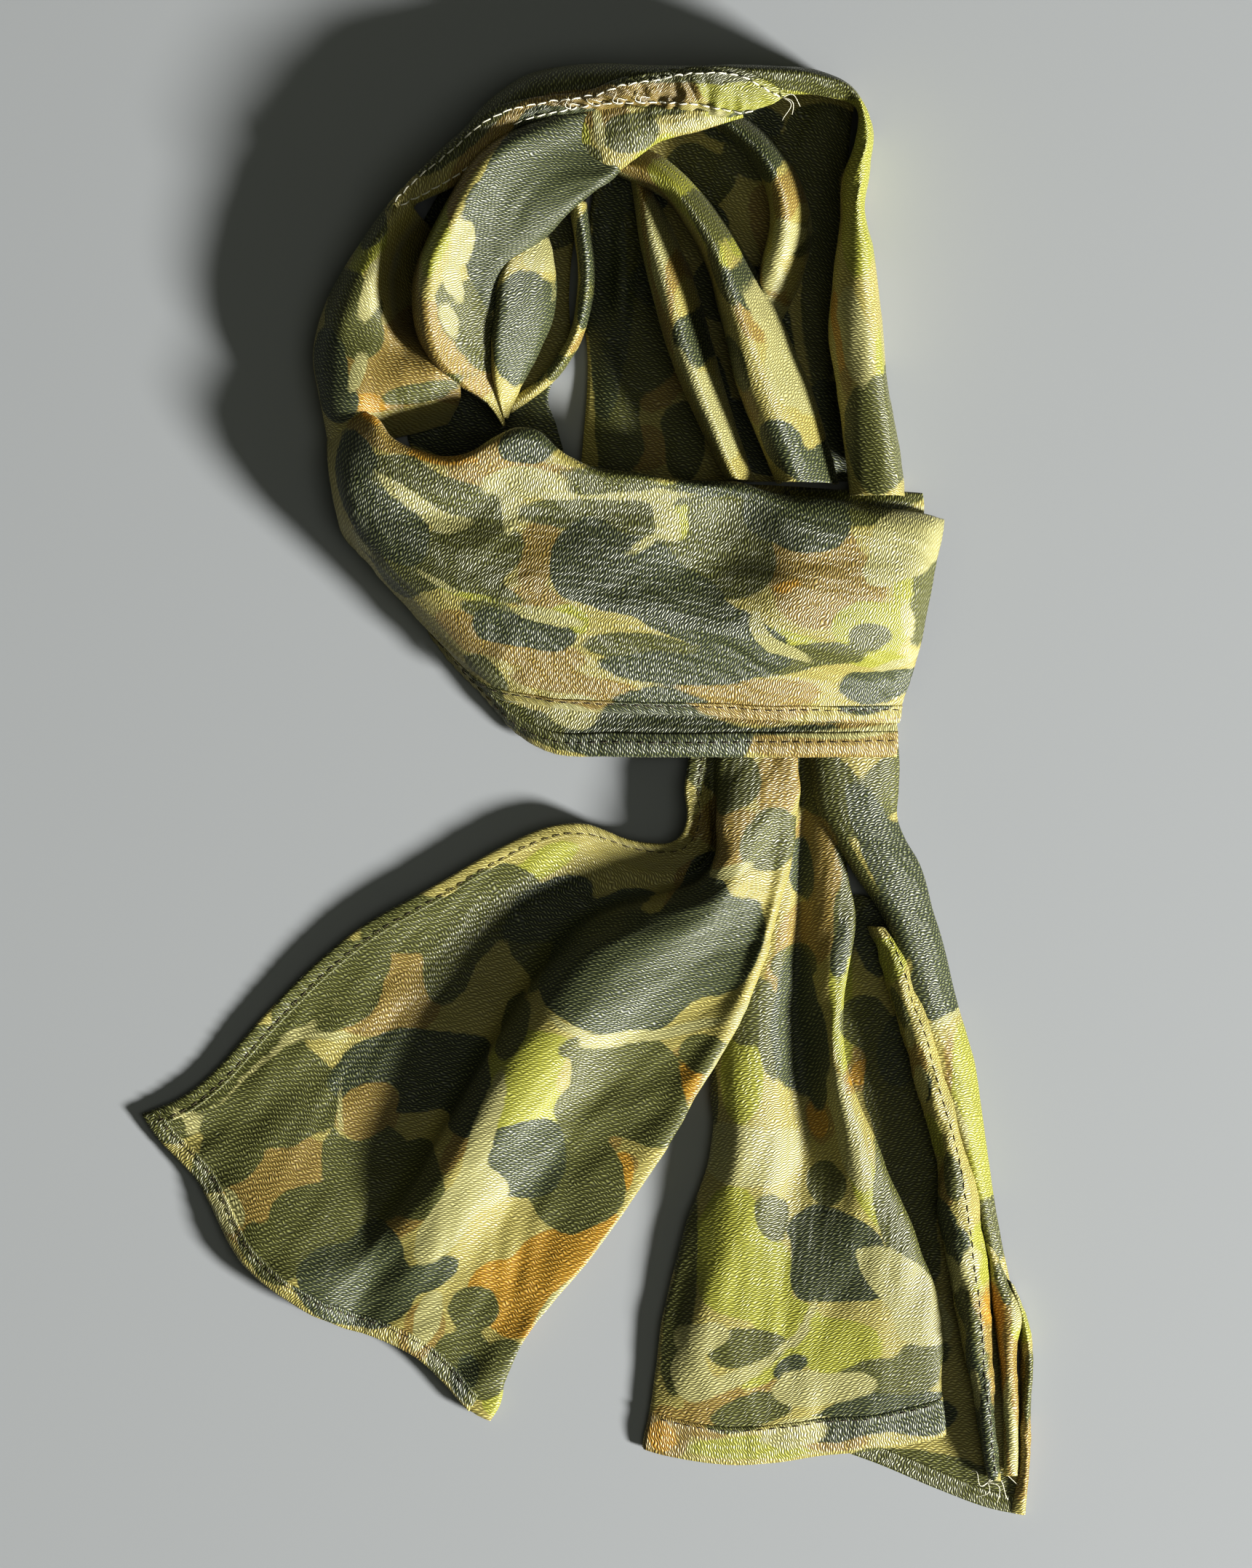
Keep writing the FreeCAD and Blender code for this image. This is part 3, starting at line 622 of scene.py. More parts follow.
def cloth_material(name):
    """Printed satin crepe: the print from the mesh, the weave from the cloth's own measure, with painted shade in the
    gaps between floats and painted highlights on their tops.
    """
    n = Nodes(name)
    uv = n.add("ShaderNodeTexCoord").outputs["UV"]
    waver = n.add("ShaderNodeTexNoise", {"Vector": uv, "Scale": 260.0, "Detail": 3.0}).outputs["Fac"]
    waver = n.math("MULTIPLY_ADD", waver, PRINT_WAVER, -PRINT_WAVER / 2)
    colour = None
    shade = n.add("ShaderNodeTexNoise", {"Vector": uv, "Scale": 28.0, "Detail": 3.0}).outputs["Fac"]
    for layer in ["base"] + LAYERS:
        tint = COLOURS[layer]
        darker = tuple(DARKER * c for c in tint[:3]) + (1.0,)
        mottled = n.mix(n.math("MULTIPLY_ADD", shade, 2.2, -0.6, clamp=True), darker, tint)
        if colour is None:
            colour = mottled
            continue
        far = n.add("ShaderNodeAttribute", attribute_name=layer).outputs["Fac"]
        inside = n.math("MULTIPLY_ADD", n.math("ADD", far, waver), PRINT_EDGE, 0.5, clamp=True)
        colour = n.mix(inside, colour, mottled)
    weave = crepe_weave(n, uv)
    # Painted shade: the colour is darkened in the gaps between the floats, where the weave lies in shade.
    gap_shaded = n.mix(1.0, colour, PAINTED_GAP_SHADE, "MULTIPLY")
    yarn_with_gap_shade = n.mix(n.math("POWER", weave, 0.7), gap_shaded, colour)
    # Painted highlight: the tops of the floats are mixed towards a pale sheen colour.
    with_painted_sheen = n.mix(n.math("MULTIPLY", n.math("POWER", weave, 4.0), PAINTED_GLINT_AMOUNT), yarn_with_gap_shade, PAINTED_SHEEN_COLOUR)
    n.link(with_painted_sheen, "Base Color")
    bump = n.add("ShaderNodeBump", {"Height": weave, "Strength": 0.8, "Distance": WEAVE_HEIGHT})
    n.link(bump.outputs[0], "Normal")
    n.link(n.math("MULTIPLY_ADD", weave, -0.30, 0.62), "Roughness")
    n.shader.inputs["IOR"].default_value = 1.7
    n.shader.inputs["Sheen Weight"].default_value = 0.12
    n.shader.inputs["Sheen Roughness"].default_value = 0.35
    n.shader.inputs["Sheen Tint"].default_value = (0.95, 0.95, 0.80, 1)
    return n.material


def thread_material(name, light, dark):
    """Twisted sewing thread, with its plies as fine slanted bands."""
    n = Nodes(name)
    uv = n.add("ShaderNodeTexCoord").outputs["UV"]
    plies = n.add("ShaderNodeTexWave", {"Vector": uv, "Scale": 900.0, "Distortion": 1.5},
                  bands_direction="DIAGONAL")
    n.link(n.mix(plies.outputs["Fac"], dark, light), "Base Color")
    bump = n.add("ShaderNodeBump", {"Height": plies.outputs["Fac"], "Strength": 0.5, "Distance": 0.0001})
    n.link(bump.outputs[0], "Normal")
    n.shader.inputs["Roughness"].default_value = 0.6
    n.shader.inputs["Sheen Weight"].default_value = 0.2
    return n.material


crepe = cloth_material("printed satin crepe")
pale_thread = thread_material("pale thread", rgb(0.95, 0.94, 0.88), rgb(0.80, 0.78, 0.68))
dark_thread = thread_material("dark thread", rgb(0.27, 0.20, 0.10), rgb(0.12, 0.09, 0.04))


# Making pieces

def mesh_of(name, grid, material, region=None):
    """A mesh from a grid of places, with its cloth measure as UV in metres."""
    rows, columns = grid.shape[:2]
    flip = np.cross(np.gradient(grid, axis=0), np.gradient(grid, axis=1))[..., 2].sum() < 0
    u = lengths(grid)
    u = (u - u[len(u) // 2]) * MM
    v = lengths(grid.swapaxes(0, 1)).mean(axis=1)[None, :] * MM + 0 * u
    index = np.arange(rows * columns).reshape(rows, columns)
    quads = np.stack([index[:-1, :-1], index[1:, :-1], index[1:, 1:], index[:-1, 1:]], axis=-1)
    quads = quads.reshape(-1, 4)
    if flip:
        quads = quads[:, ::-1]
    mesh = bpy.data.meshes.new(name)
    mesh.from_pydata((grid.reshape(-1, 3) * MM).tolist(), [], quads.tolist())
    mesh.polygons.foreach_set("use_smooth", np.ones(len(quads), bool))
    layer = mesh.uv_layers.new(name="UVMap")
    corners = np.stack([u.ravel(), v.ravel()], axis=1)[quads.ravel()]
    layer.data.foreach_set("uv", corners.ravel().astype(np.float32))
    if region:
        add_print(mesh, region)
    mesh.materials.append(material)
    return mesh


def place(name, mesh, slot, nodes=()):
    """Puts a mesh in the scene, standing for its nodes and taking its slot."""
    piece = bpy.data.objects.new(name, mesh)
    bpy.context.scene.collection.objects.link(piece)
    if nodes:
        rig.replaces(piece, *nodes)
    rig.slot(piece, slot)
    return piece


def thicken(piece, thickness):
    """Gives a sheet its thickness, below the side that shows."""
    solid = piece.modifiers.new("thickness", "SOLIDIFY")
    solid.thickness = thickness * MM
    solid.offset = -1


def join_body(piece, body):
    """A tail's pieces bend where the cloth comes out from under the wrap; the rest just ride."""
    if body == ROOT:
        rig.ride(piece, ROOT)
    else:
        x = TAIL_X[body] * MM
        z = BLEND_Z * MM
        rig.blend(piece, ROOT, body, (x, BLEND_TOP * MM, z), (x, BLEND_END * MM, z))


flat_sizes = {}        # a sheet's flat width and length, in metres, by its name
TAIL_X = {LEFT: 60, RIGHT: 100}
BLEND_TOP = 26
BLEND_END = -6
BLEND_Z = 6


def cloth(name, grid, region, body=ROOT, nodes=(), thick=CLOTH, slot="camouflage_cloth"):
    """One sheet of the printed cloth, as a thin closed mesh."""
    piece = place(name, mesh_of(name, grid, crepe, region), slot, nodes)
    thicken(piece, thick)
    join_body(piece, body)
    flat_sizes[piece.name] = (
        lengths(grid)[-1].mean() * MM,
        lengths(grid.swapaxes(0, 1))[-1].mean() * MM,
    )
    return piece


SIDES = {
    "first": lambda g: g,
    "last": lambda g: g[::-1],
    "start": lambda g: g.swapaxes(0, 1),
    "end": lambda g: g.swapaxes(0, 1)[::-1],
}


def near_edge(grid, side, distances):
    """Places on a grid at distances from one side, and the normals there: [distance, along]."""
    g = SIDES[side](grid)
    n = SIDES[side](normals_of(grid))
    far = lengths(g)
    places, ups = [], []
    for j in range(g.shape[1]):
        places.append([np.interp(distances, far[:, j], g[:, j, k]) for k in range(3)])
        ups.append([np.interp(distances, far[:, j], n[:, j, k]) for k in range(3)])
    places = np.array(places).transpose(2, 0, 1)
    ups = np.array(ups).transpose(2, 0, 1)
    return places, ups / np.maximum(np.linalg.norm(ups, axis=-1, keepdims=True), 1e-9)


def hem(name, grid, side, region, body=ROOT, nodes=(), width=HEM, lift=0.7, pucker=0.25, seed=3):
    """A turned hem on one side of a sheet: a raised band, drawn in a little at each stitch."""
    distances = np.array([0.9, 0.0, 0.0, 0.5, 1.3, 2.4, 3.5, 4.4, 4.9, 5.4, 5.9, 6.3, 6.5]) * width / HEM
    raised = np.array([-1.1, -0.7, 0.4, 0.9, 1.0, 1.0, 0.92, 0.6, 0.5, 0.65, 0.8, 0.6, 0.0])
    places, ups = near_edge(grid, side, distances)
    run = lengths(places[3])
    phase = 2 * math.pi * run / PITCH
    draw = 0.6 * np.sin(phase) + noise(run, run * 0, 3.0, 1.0, seed) * 0.8
    window = np.clip(raised, 0, 1)[:, None]
    height = lift * raised[:, None] + pucker * draw[None, :] * window
    grown = places + ups * height[..., None]
    outward = places[1] - places[4]
    outward /= np.maximum(np.linalg.norm(outward, axis=-1, keepdims=True), 1e-9)
    grown[1:3] += outward[None] * 0.35
    grown[..., 2] = np.maximum(grown[..., 2], 0.15)
    piece = place(name, mesh_of(name, grown, crepe, region), "hem_cloth", nodes)
    thicken(piece, HEM_LAYER)
    join_body(piece, body)
    return piece


def tube(path, radii, around=7):
    """Rings of a tube along a path, as vertices and faces."""
    path = np.asarray(path, float)
    tangent = np.gradient(path, axis=0)
    tangent /= np.linalg.norm(tangent, axis=1, keepdims=True)
    side = np.cross(tangent, (0, 0, 1.0))
    side /= np.maximum(np.linalg.norm(side, axis=1, keepdims=True), 1e-9)
    up = np.cross(side, tangent)
    turn = np.linspace(0, 2 * math.pi, around, endpoint=False)
    rings = path[:, None] + np.asarray(radii)[:, None, None] * (
        np.cos(turn)[None, :, None] * side[:, None] + np.sin(turn)[None, :, None] * up[:, None]
    )
    verts = rings.reshape(-1, 3)
    faces = []
    for i in range(len(path) - 1):
        for k in range(around):
            m = (k + 1) % around
            faces.append((i * around + k, i * around + m, (i + 1) * around + m, (i + 1) * around + k))
    faces.append(tuple(range(around))[::-1])
    faces.append(tuple((len(path) - 1) * around + k for k in range(around)))
    return verts, faces


def threads(name, paths, material, slot, body=ROOT, nodes=()):
    """One node of thread: each path is a list of places with the radius at each."""
    verts, faces = [], []
    for path, radii in paths:
        v, f = tube(path, radii)
        start = len(verts)
        verts.extend(v.tolist())
        faces.extend(tuple(start + k for k in face) for face in f)
    mesh = bpy.data.meshes.new(name)
    mesh.from_pydata((np.array(verts) * MM).tolist(), [], faces)
    mesh.polygons.foreach_set("use_smooth", np.ones(len(faces), bool))
    layer = mesh.uv_layers.new(name="UVMap")
    flat = np.array(verts)[[k for face in faces for k in face]][:, :2] * MM
    layer.data.foreach_set("uv", flat.ravel().astype(np.float32))
    mesh.materials.append(material)
    piece = place(name, mesh, slot, nodes)
    join_body(piece, body)
    return piece


def stitch_paths(line, ups, lift, pitch=PITCH, long=3.1, radius=THREAD_R, skip=(), loose=0.0, seed=5):
    """Stitches along a line of places: each dips into the cloth at both ends."""
    pick = np.random.default_rng(seed)
    run = lengths(line)
    paths = []
    for i in range(int((run[-1] - 1.0) / pitch)):
        wobble, tilt, rise = pick.uniform(-0.25, 0.25), pick.uniform(-0.12, 0.12), pick.uniform(0, 1)
        if i in skip:
            continue
        middle = 1.0 + pitch * (i + 0.5) + wobble
        offsets = np.array([-0.5, -0.40, -0.2, 0.0, 0.2, 0.40, 0.5]) * long
        spots = [np.interp(middle + offsets, run, line[:, k]) for k in range(3)]
        spots = np.stack(spots, axis=1)
        up = np.array([np.interp(middle, run, ups[:, k]) for k in range(3)])
        up /= np.linalg.norm(up)
        ahead = spots[-1] - spots[0]
        sideways = np.cross(up, ahead / np.linalg.norm(ahead))
        arc = np.array([-0.5, 0.05, 0.24, 0.3, 0.24, 0.05, -0.5]) + lift + loose * rise * 0.5
        spots = spots + up * arc[:, None] + sideways * (tilt * offsets + loose * (rise - 0.5))[:, None]
        paths.append((spots, radius * np.array([0.7, 0.95, 1.0, 1.0, 1.0, 0.95, 0.7])))
    return paths


def hem_stitches(name, grid, side, body=ROOT, nodes=(), inset=HEM - 1.6, lift=0.7, skip=(), seed=5):
    """The row of dark stitches that holds a turned hem, set in from its edge."""
    places, ups = near_edge(grid, side, np.array([inset]))
    paths = stitch_paths(places[0], ups[0], lift * 0.55 + 0.05, radius=HEM_THREAD_R, skip=skip, seed=seed)
    return threads(name, paths, dark_thread, "dark_thread", body, nodes)


def loose_ends(start, reaches, seed):
    """Frayed ends of thread that curl away from a place, over the cloth."""
    pick = np.random.default_rng(seed)
    paths = []
    for reach in reaches:
        share = np.linspace(0, 1, 12)[:, None]
        ahead = np.array([reach[0], reach[1], 0.0])
        aside = np.array([-reach[1], reach[0], 0.0])
        path = np.array(start) + ahead * share + aside * 0.3 * np.sin(share * pick.uniform(3, 6))
        path[:, 2] += 0.7 + 1.2 * np.sin(math.pi * share[:, 0]) - 1.0 * share[:, 0]
        paths.append((path, 0.2 * np.linspace(1, 0.6, 12)))
    return paths


# Hood

def hood():
    made = {}
    wall = loft([
        [(-92, 126, 1), (-97, 150, 1), (-98, 165, 1), (-96, 177, 1), (-91, 190, 1), (-84, 203, 2),
            (-75, 214, 4), (-66, 226, 8)],
        [(-98, 128, 8), (-103, 150, 10), (-105, 165, 11), (-103, 177, 11), (-98, 190, 12), (-91, 203, 14),
            (-81, 217, 18), (-71, 229, 22)],
        [(-98, 129, 16), (-102, 150, 20), (-103.5, 165, 21), (-101, 177, 22), (-96, 190, 24),
            (-89, 203, 26), (-80, 216, 28), (-70.5, 228, 30)],
        [(-93, 130, 20), (-97, 150, 26), (-97, 165, 28), (-95, 177, 29), (-91, 188, 30), (-85, 200, 31),
            (-78, 213, 32), (-69, 226, 33)],
        [(-86, 131, 19), (-89, 150, 28), (-88, 163, 30), (-86, 175, 29), (-84, 186, 30), (-81, 198, 31),
            (-76, 210, 31), (-68, 223, 33)],
        [(-79, 133, 9), (-80, 149, 27), (-78, 161, 29), (-77, 173, 26), (-77.5, 184, 23), (-77, 196, 24),
            (-74, 207, 25), (-66, 220, 30)],
        [(-72, 135, 4), (-70, 149, 26), (-68, 159, 29), (-70, 170, 21), (-72.5, 182, 9), (-74, 193, 9),
            (-72, 204, 10), (-63, 217, 16)],
        [(-64, 137, 3), (-60, 149, 25), (-59, 158, 28), (-62, 169, 19), (-66, 181, 4), (-68, 192, 4),
            (-66, 203, 4), (-58, 213, 6)],
        [(-54, 140, 3), (-49, 150, 22), (-50, 158, 22), (-52, 168, 12), (-56, 180, 3), (-58, 191, 3),
            (-57, 200, 3), (-52, 210, 3)],
    ])
    made["hood_left_panel"] = cloth("hood_left_panel", ruffle(wall, 0.5, 10, 40, 11), "hood",
                                    nodes=["hood_left_panel"])

    outer = [(-80, 216), (-68, 231), (-60, 241), (-50, 250), (-41, 260), (-35, 266), (-25, 272),
        (-15, 275), (0, 277), (30, 275.5), (55, 276), (75, 275), (88, 273), (97, 269), (104, 262),
        (107.5, 252), (107, 240), (105, 230), (104.5, 220), (107, 210), (109, 195), (111, 180),
        (112, 165), (114, 150), (117, 135), (120, 112)]
    inner = [(-73, 212), (-63, 226), (-54, 236), (-45, 245), (-37, 251), (-29, 255), (-19, 258),
        (-8, 260), (5, 262), (22, 266), (42, 268), (60, 268), (72, 264.5), (82, 263), (92, 263.5),
        (99, 261), (103.5, 255), (103.5, 249), (98.5, 243), (96, 232), (96, 220), (94, 205), (92, 190),
        (91, 175), (93, 160), (95, 145), (97, 130), (99, 112)]
    sloping = [(0.9, 0.0), (0.07, 0.0), (0.0, 0.28), (0.06, 0.60), (0.22, 0.86), (0.5, 0.98), (0.82, 1.0),
        (0.95, 0.86), (1.0, 0.6), (0.95, 0.3)]
    upright = [(0.9, 0.0), (0.05, 0.0), (0.0, 0.34), (0.04, 0.72), (0.14, 0.94), (0.32, 1.0),
        (0.58, 0.97), (0.82, 0.88), (1.0, 0.68), (0.95, 0.3)]
    crown = arch(outer, inner, [30, 33, 34, 35, 36, 38, 39, 38, 37, 36, 33, 28], 0.5, sloping,
                 [26, 26, 28, 28, 28, 26, 22, 6, 3, 3, 2], profile_end=upright, turn=[
                     0, 0, 0.1, 0.5, 1, 1, 1, 1, 1])
    made["hood_crown_panel"] = cloth("hood_crown_panel", ruffle(crown, 0.45, 7, 40, 12), "hood",
                                     nodes=["hood_crown_panel", "face_edge_band"])

    tucked = [(0.06, 0.0), (0.0, 0.40), (0.01, 0.72), (0.07, 0.95), (0.17, 1.0), (0.30, 0.97),
        (0.46, 0.89), (0.64, 0.85), (0.82, 0.88), (0.97, 0.90), (1.0, 0.72), (0.95, 0.45)]
    belly = [(0.08, 0.0), (0.0, 0.40), (0.01, 0.72), (0.07, 0.95), (0.17, 1.0), (0.30, 0.91),
        (0.46, 0.80), (0.64, 0.72), (0.82, 0.66), (0.95, 0.56), (1.0, 0.42), (0.93, 0.22)]
    temple = arch(
        [(3, 258), (-10, 257), (-22, 253.5), (-35, 247.5), (-45, 239), (-53, 226), (-60, 212), (-65, 200),
            (-67, 188), (-66, 175), (-62, 165), (-55, 157), (-46, 151), (-38, 146), (-33, 139)],
        [(11, 252), (12, 243), (11, 234), (0, 226), (-10, 217), (-16, 210.5), (-25, 203), (-30.5, 194),
            (-32.5, 180), (-34, 168), (-34, 156), (-33, 146), (-32, 139)],
        [37, 40, 43, 44, 44, 43, 39, 33, 22, 12], [20, 12, 6, 5, 5, 6, 8, 8, 4], tucked,
        profile_end=belly, turn=[0, 0.2, 0.7, 1, 1, 1, 1, 1],
    )
    made["temple_fold"] = cloth("temple_fold", ruffle(temple, 0.6, 9, 50, 13), "hood",
                                nodes=["temple_fold"])

    leaf = arch([(-30, 206), (-36, 194), (-37, 180), (-38, 168), (-37, 155), (-33, 142)],
                [(-15.5, 211), (-13, 200), (-12.5, 190), (-14, 180), (-18, 170), (-24, 158), (-29, 148),
                    (-31, 142)],
                [26, 30, 31, 30, 27, 20, 11], 4,
                [(0.06, 0.0), (0.0, 0.5), (0.03, 0.88), (0.12, 1.0), (0.35, 0.94), (0.62, 0.82),
                    (0.85, 0.68), (0.97, 0.5), (1.0, 0.3), (0.93, 0.05)])
    made["temple_inner_leaf"] = cloth("temple_inner_leaf", ruffle(leaf, 0.35, 8, 40, 14), "folds",
                                      nodes=["temple_inner_leaf"])

    ribbon = arch([(-8, 224), (-6, 212), (-4.5, 200), (-5, 188), (-7.5, 175), (-13, 165), (-20, 157),
        (-30, 150)],
                  [(-1, 224), (0.5, 212), (2, 200), (1.2, 187), (-2, 175), (-7, 165), (-12, 158),
                      (-20, 151), (-30, 144)],
                  [22, 22, 21, 19, 17, 14, 10, 7], 2.5, ROUND, step=1.0)
    made["throat_ribbon_fold"] = cloth("throat_ribbon_fold", ruffle(ribbon, 0.3, 6, 30, 15), "folds",
                                       nodes=["throat_ribbon_fold"])

    pleat_a = arch([(15, 238), (17, 226), (18, 215), (21, 200), (25, 185), (30, 168), (36, 152),
        (43, 137), (52, 118)],
                   [(20, 238), (24.5, 228), (31, 215), (37, 202), (42, 187), (46.5, 171), (51, 155),
                       (56, 138), (63, 118)],
                   [18, 24, 28, 30, 30, 29, 28, 25], 2, LEAN_LEFT, step=1.1)
    made["back_pleat_left"] = cloth("back_pleat_left", ruffle(pleat_a, 0.35, 6, 35, 16), "folds",
                                    nodes=["back_pleat_left"])

    pleat_b = arch([(8, 236), (20, 230), (29, 225), (36, 216), (42, 206), (46, 196), (49, 183), (52, 170),
        (55, 156), (62, 138), (71, 117)],
                   [(10, 242), (20, 244), (30, 240), (41, 230), (52, 216), (62, 200), (71, 184),
                       (78, 168), (85, 152), (90, 135), (95, 117)],
                   [29, 33, 36, 37, 37, 36, 35, 33, 30], 3, LEAN_LEFT)
    made["back_pleat_middle"] = cloth("back_pleat_middle", ruffle(pleat_b, 0.4, 7, 45, 17), "folds",
                                      nodes=["back_pleat_middle"])

    pleat_c = arch([(46, 254), (55, 247), (63, 238), (68, 226), (68.5, 214), (66, 204), (63, 192),
        (60, 178)],
                   [(52, 260), (63, 254), (73, 244), (80, 233), (84, 221), (84.5, 209), (82, 198),
                       (77, 186), (70, 174)],
                   [29, 31, 33, 33, 31, 27, 20, 8], 3, LEAN_LEFT)
    made["back_pleat_right"] = cloth("back_pleat_right", ruffle(pleat_c, 0.35, 6, 35, 18), "folds",
                                     nodes=["back_pleat_right"])
    # The back panels take the darker inside print: painted shade in the hood's hollow.
    back_left = loft([
        [(-64, 118, 1), (-72, 145, 1), (-72, 180, 1), (-66, 212, 2), (-48, 240, 4), (-22, 256, 7),
            (-18, 262, 17)],
        [(-48, 118, 2), (-50, 145, 2), (-50, 180, 2), (-46, 208, 2), (-34, 230, 3), (-14, 252, 6),
            (-10, 264, 18)],
        [(-30, 120, 3), (-33, 143, 2), (-30, 150, 2), (-24, 180, 2), (-20, 206, 2), (-10, 228, 3),
            (-3, 254, 7), (0, 266, 19)],
        [(-8, 122, 4), (-13, 140, 3), (-16, 150, 3), (-8, 170, 3), (-8, 190, 2), (-6, 210, 2),
            (0, 230, 3), (8, 256, 7), (10, 267, 19)],
    ])
    made["hood_back_left"] = cloth("hood_back_left", ruffle(back_left, 0.5, 9, 40, 19), "inside")
    back_right = loft([
        [(-4, 118, 5), (-2, 140, 4), (-1, 155, 3), (-1, 168, 3), (-3, 190, 2), (0, 220, 3), (6, 256, 8),
            (8, 267, 19)],
        [(8, 118, 7), (8, 140, 6), (9, 155, 5), (7, 168, 5), (7, 190, 3), (8, 220, 4), (12, 256, 9),
            (14, 268, 19)],
        [(16, 118, 6), (15, 140, 5), (14, 155, 5), (13, 168, 4), (12, 190, 6), (13, 220, 5),
            (20, 257, 10), (22, 269, 19)],
        [(26, 118, 5), (24, 140, 4), (22, 155, 4), (21, 168, 3), (20, 190, 3), (22, 220, 4),
            (32, 258, 10), (34, 270, 19)],
        [(50, 118, 4), (48, 140, 4), (45, 155, 3), (43, 168, 3), (40, 190, 3), (42, 220, 5),
            (50, 259, 12), (52, 271, 20)],
        [(78, 118, 3), (76, 140, 3), (72, 155, 3), (70, 168, 4), (70, 190, 5), (68, 220, 7),
            (70, 260, 14), (73, 270, 20)],
        [(88, 118, 6), (87, 135, 8), (86, 150, 8), (84, 166, 6), (84, 190, 4), (84, 220, 4),
            (86, 260, 12), (89, 268, 17)],
        [(99, 118, 3), (97, 140, 3), (95, 155, 3), (94, 168, 3), (94, 190, 3), (97, 220, 4),
            (100, 256, 10), (101, 262, 14)],
    ])
    made["hood_back_panel"] = cloth("hood_back_panel", ruffle(back_right, 0.7, 9, 50, 20), "inside",
                                    nodes=["hood_back_panel"])

    band = loft([
        [(-77, 220, 31), (-68, 231.5, 32), (-60, 239, 33), (-50, 247.5, 34), (-42, 255, 35),
            (-32, 260, 36), (-20, 262.5, 37), (0, 265, 38), (10, 269, 38.5), (25, 272, 39),
            (45, 274, 39.5), (58, 273, 39), (68, 268, 38), (76, 263.5, 36)],
        [(-75, 222, 33), (-66, 231, 33.5), (-58, 237.5, 34.5), (-49, 245, 35.5), (-41, 252, 36.5),
            (-31, 257, 37.5), (-20, 259.5, 38.5), (0, 262.5, 39.5), (12, 266, 40), (26, 269, 40.5),
            (45, 271, 41), (57, 270, 40.5), (65, 266, 39.5), (73, 262, 37.5)],
        [(-74, 222, 33.5), (-64, 229, 34), (-55, 235, 35), (-47, 241.5, 36), (-38, 249, 37),
            (-29, 254.5, 38), (-19, 257, 39), (0, 261, 40), (14, 263, 40.5), (28, 264, 41),
            (44, 265, 41.5), (54, 264, 41), (62, 261.5, 40), (69, 259.5, 38)],
        [(-73, 221, 33), (-62, 226.5, 33.5), (-53, 231.5, 34), (-45, 237, 35), (-36, 246.5, 36.5),
            (-28, 252.5, 37.5), (-18, 255.5, 38.5), (0, 259, 39.5), (14, 260, 40), (28, 260, 40.5),
            (42, 259, 41), (50, 257.5, 40.5), (57, 256.5, 39.5), (63, 257.5, 37.5)],
        [(-72, 219.5, 31), (-61, 224.5, 31), (-51, 229, 31), (-43, 235, 33), (-35, 245, 35),
            (-27, 251, 36.5), (-17, 254, 37.5), (1, 257, 38.5), (14, 258, 39), (28, 257.5, 39.5),
            (41, 256, 40), (48, 255, 39.5), (53, 254.5, 38.5), (58, 256, 36.5)],
    ], step=1.0)
    run = lengths(band.swapaxes(0, 1)).swapaxes(0, 1)
    rows = np.linspace(0, 1, band.shape[0])[:, None]
    tuck = np.cos(2 * math.pi * run / PITCH + 0.4) * 0.28 * (np.exp(-((rows - 0.25) / 0.14) ** 2)
                                                             + np.exp(-((rows - 0.78) / 0.14) ** 2))
    gather = noise(run, rows * 20, 2.6, 9.0, 31) * 1.9 * np.exp(-((run - 108) / 34) ** 2)
    band = band + normals_of(band) * (tuck + gather * np.sin(math.pi * rows) ** 0.5)[..., None]
    made["crown_seam_band"] = cloth("crown_seam_band", ruffle(band, 0.3, 5, 9, 21), "hood",
                                    nodes=["crown_seam_band"],
                                    slot="hem_cloth", thick=0.8)
    ups = normals_of(band)
    for label, row, skip, seed in (("outer", 0.24, (), 41), ("inner", 0.76, range(9, 12), 42)):
        k = int(round(row * (band.shape[0] - 1)))
        paths = stitch_paths(band[k], ups[k], 0.22, long=3.5, radius=0.32, skip=skip, loose=0.25, seed=seed)
        name = "crown_seam_stitches_" + label
        made[name] = threads(name, paths, pale_thread, "pale_thread", nodes=[name])

    ends = loose_ends(band[int(0.24 * band.shape[0]), -1], [(4, -6), (7, -2), (2, -8)], 44)
    for share, seed in ((0.52, 45), (0.58, 46), (0.64, 47), (0.70, 48)):
        start = band[int(0.74 * band.shape[0]), int(share * band.shape[1])]
        ends = ends + loose_ends(start, [(3, 2.5), (-2, 4)], seed)
    made["crown_loose_threads"] = threads("crown_loose_threads", ends, pale_thread, "pale_thread")

    flap = loft([
        [(-8, 259, 36), (3, 259, 38), (14, 259, 39.5), (28, 258.5, 40), (42, 257, 40), (56, 255, 38)],
        [(-7, 253, 36), (3, 252, 39), (14, 252.5, 40.5), (27, 252.5, 40.5), (40, 253, 40),
            (57, 255.5, 37.5)],
        [(-4, 245, 35.5), (6, 243.5, 38.5), (14, 245, 39.5), (25, 248, 39), (39, 250.5, 38.5),
            (58, 255.5, 37)],
        [(1, 235, 32), (10, 234.5, 34), (17, 238.7, 36), (26, 245, 36.5), (40, 249, 36.5),
            (58, 254.5, 36)],
        [(2, 236, 29), (11, 236, 30.5), (18, 241.5, 32), (26, 247, 33), (40, 251, 34), (57, 256, 34)],
    ], step=1.0)
    run = lengths(flap.swapaxes(0, 1)).swapaxes(0, 1)
    down = np.linspace(1, 0, flap.shape[0])[:, None]
    flap = flap + normals_of(flap) * (noise(run, run * 0, 3.2, 9.0, 33) * 0.8 * down ** 1.5)[..., None]
    made["crown_brim_flap"] = cloth("crown_brim_flap", ruffle(flap, 0.3, 6, 20, 22), "brim",
                                    nodes=["crown_brim_flap"])
    return made


# Neck wrap

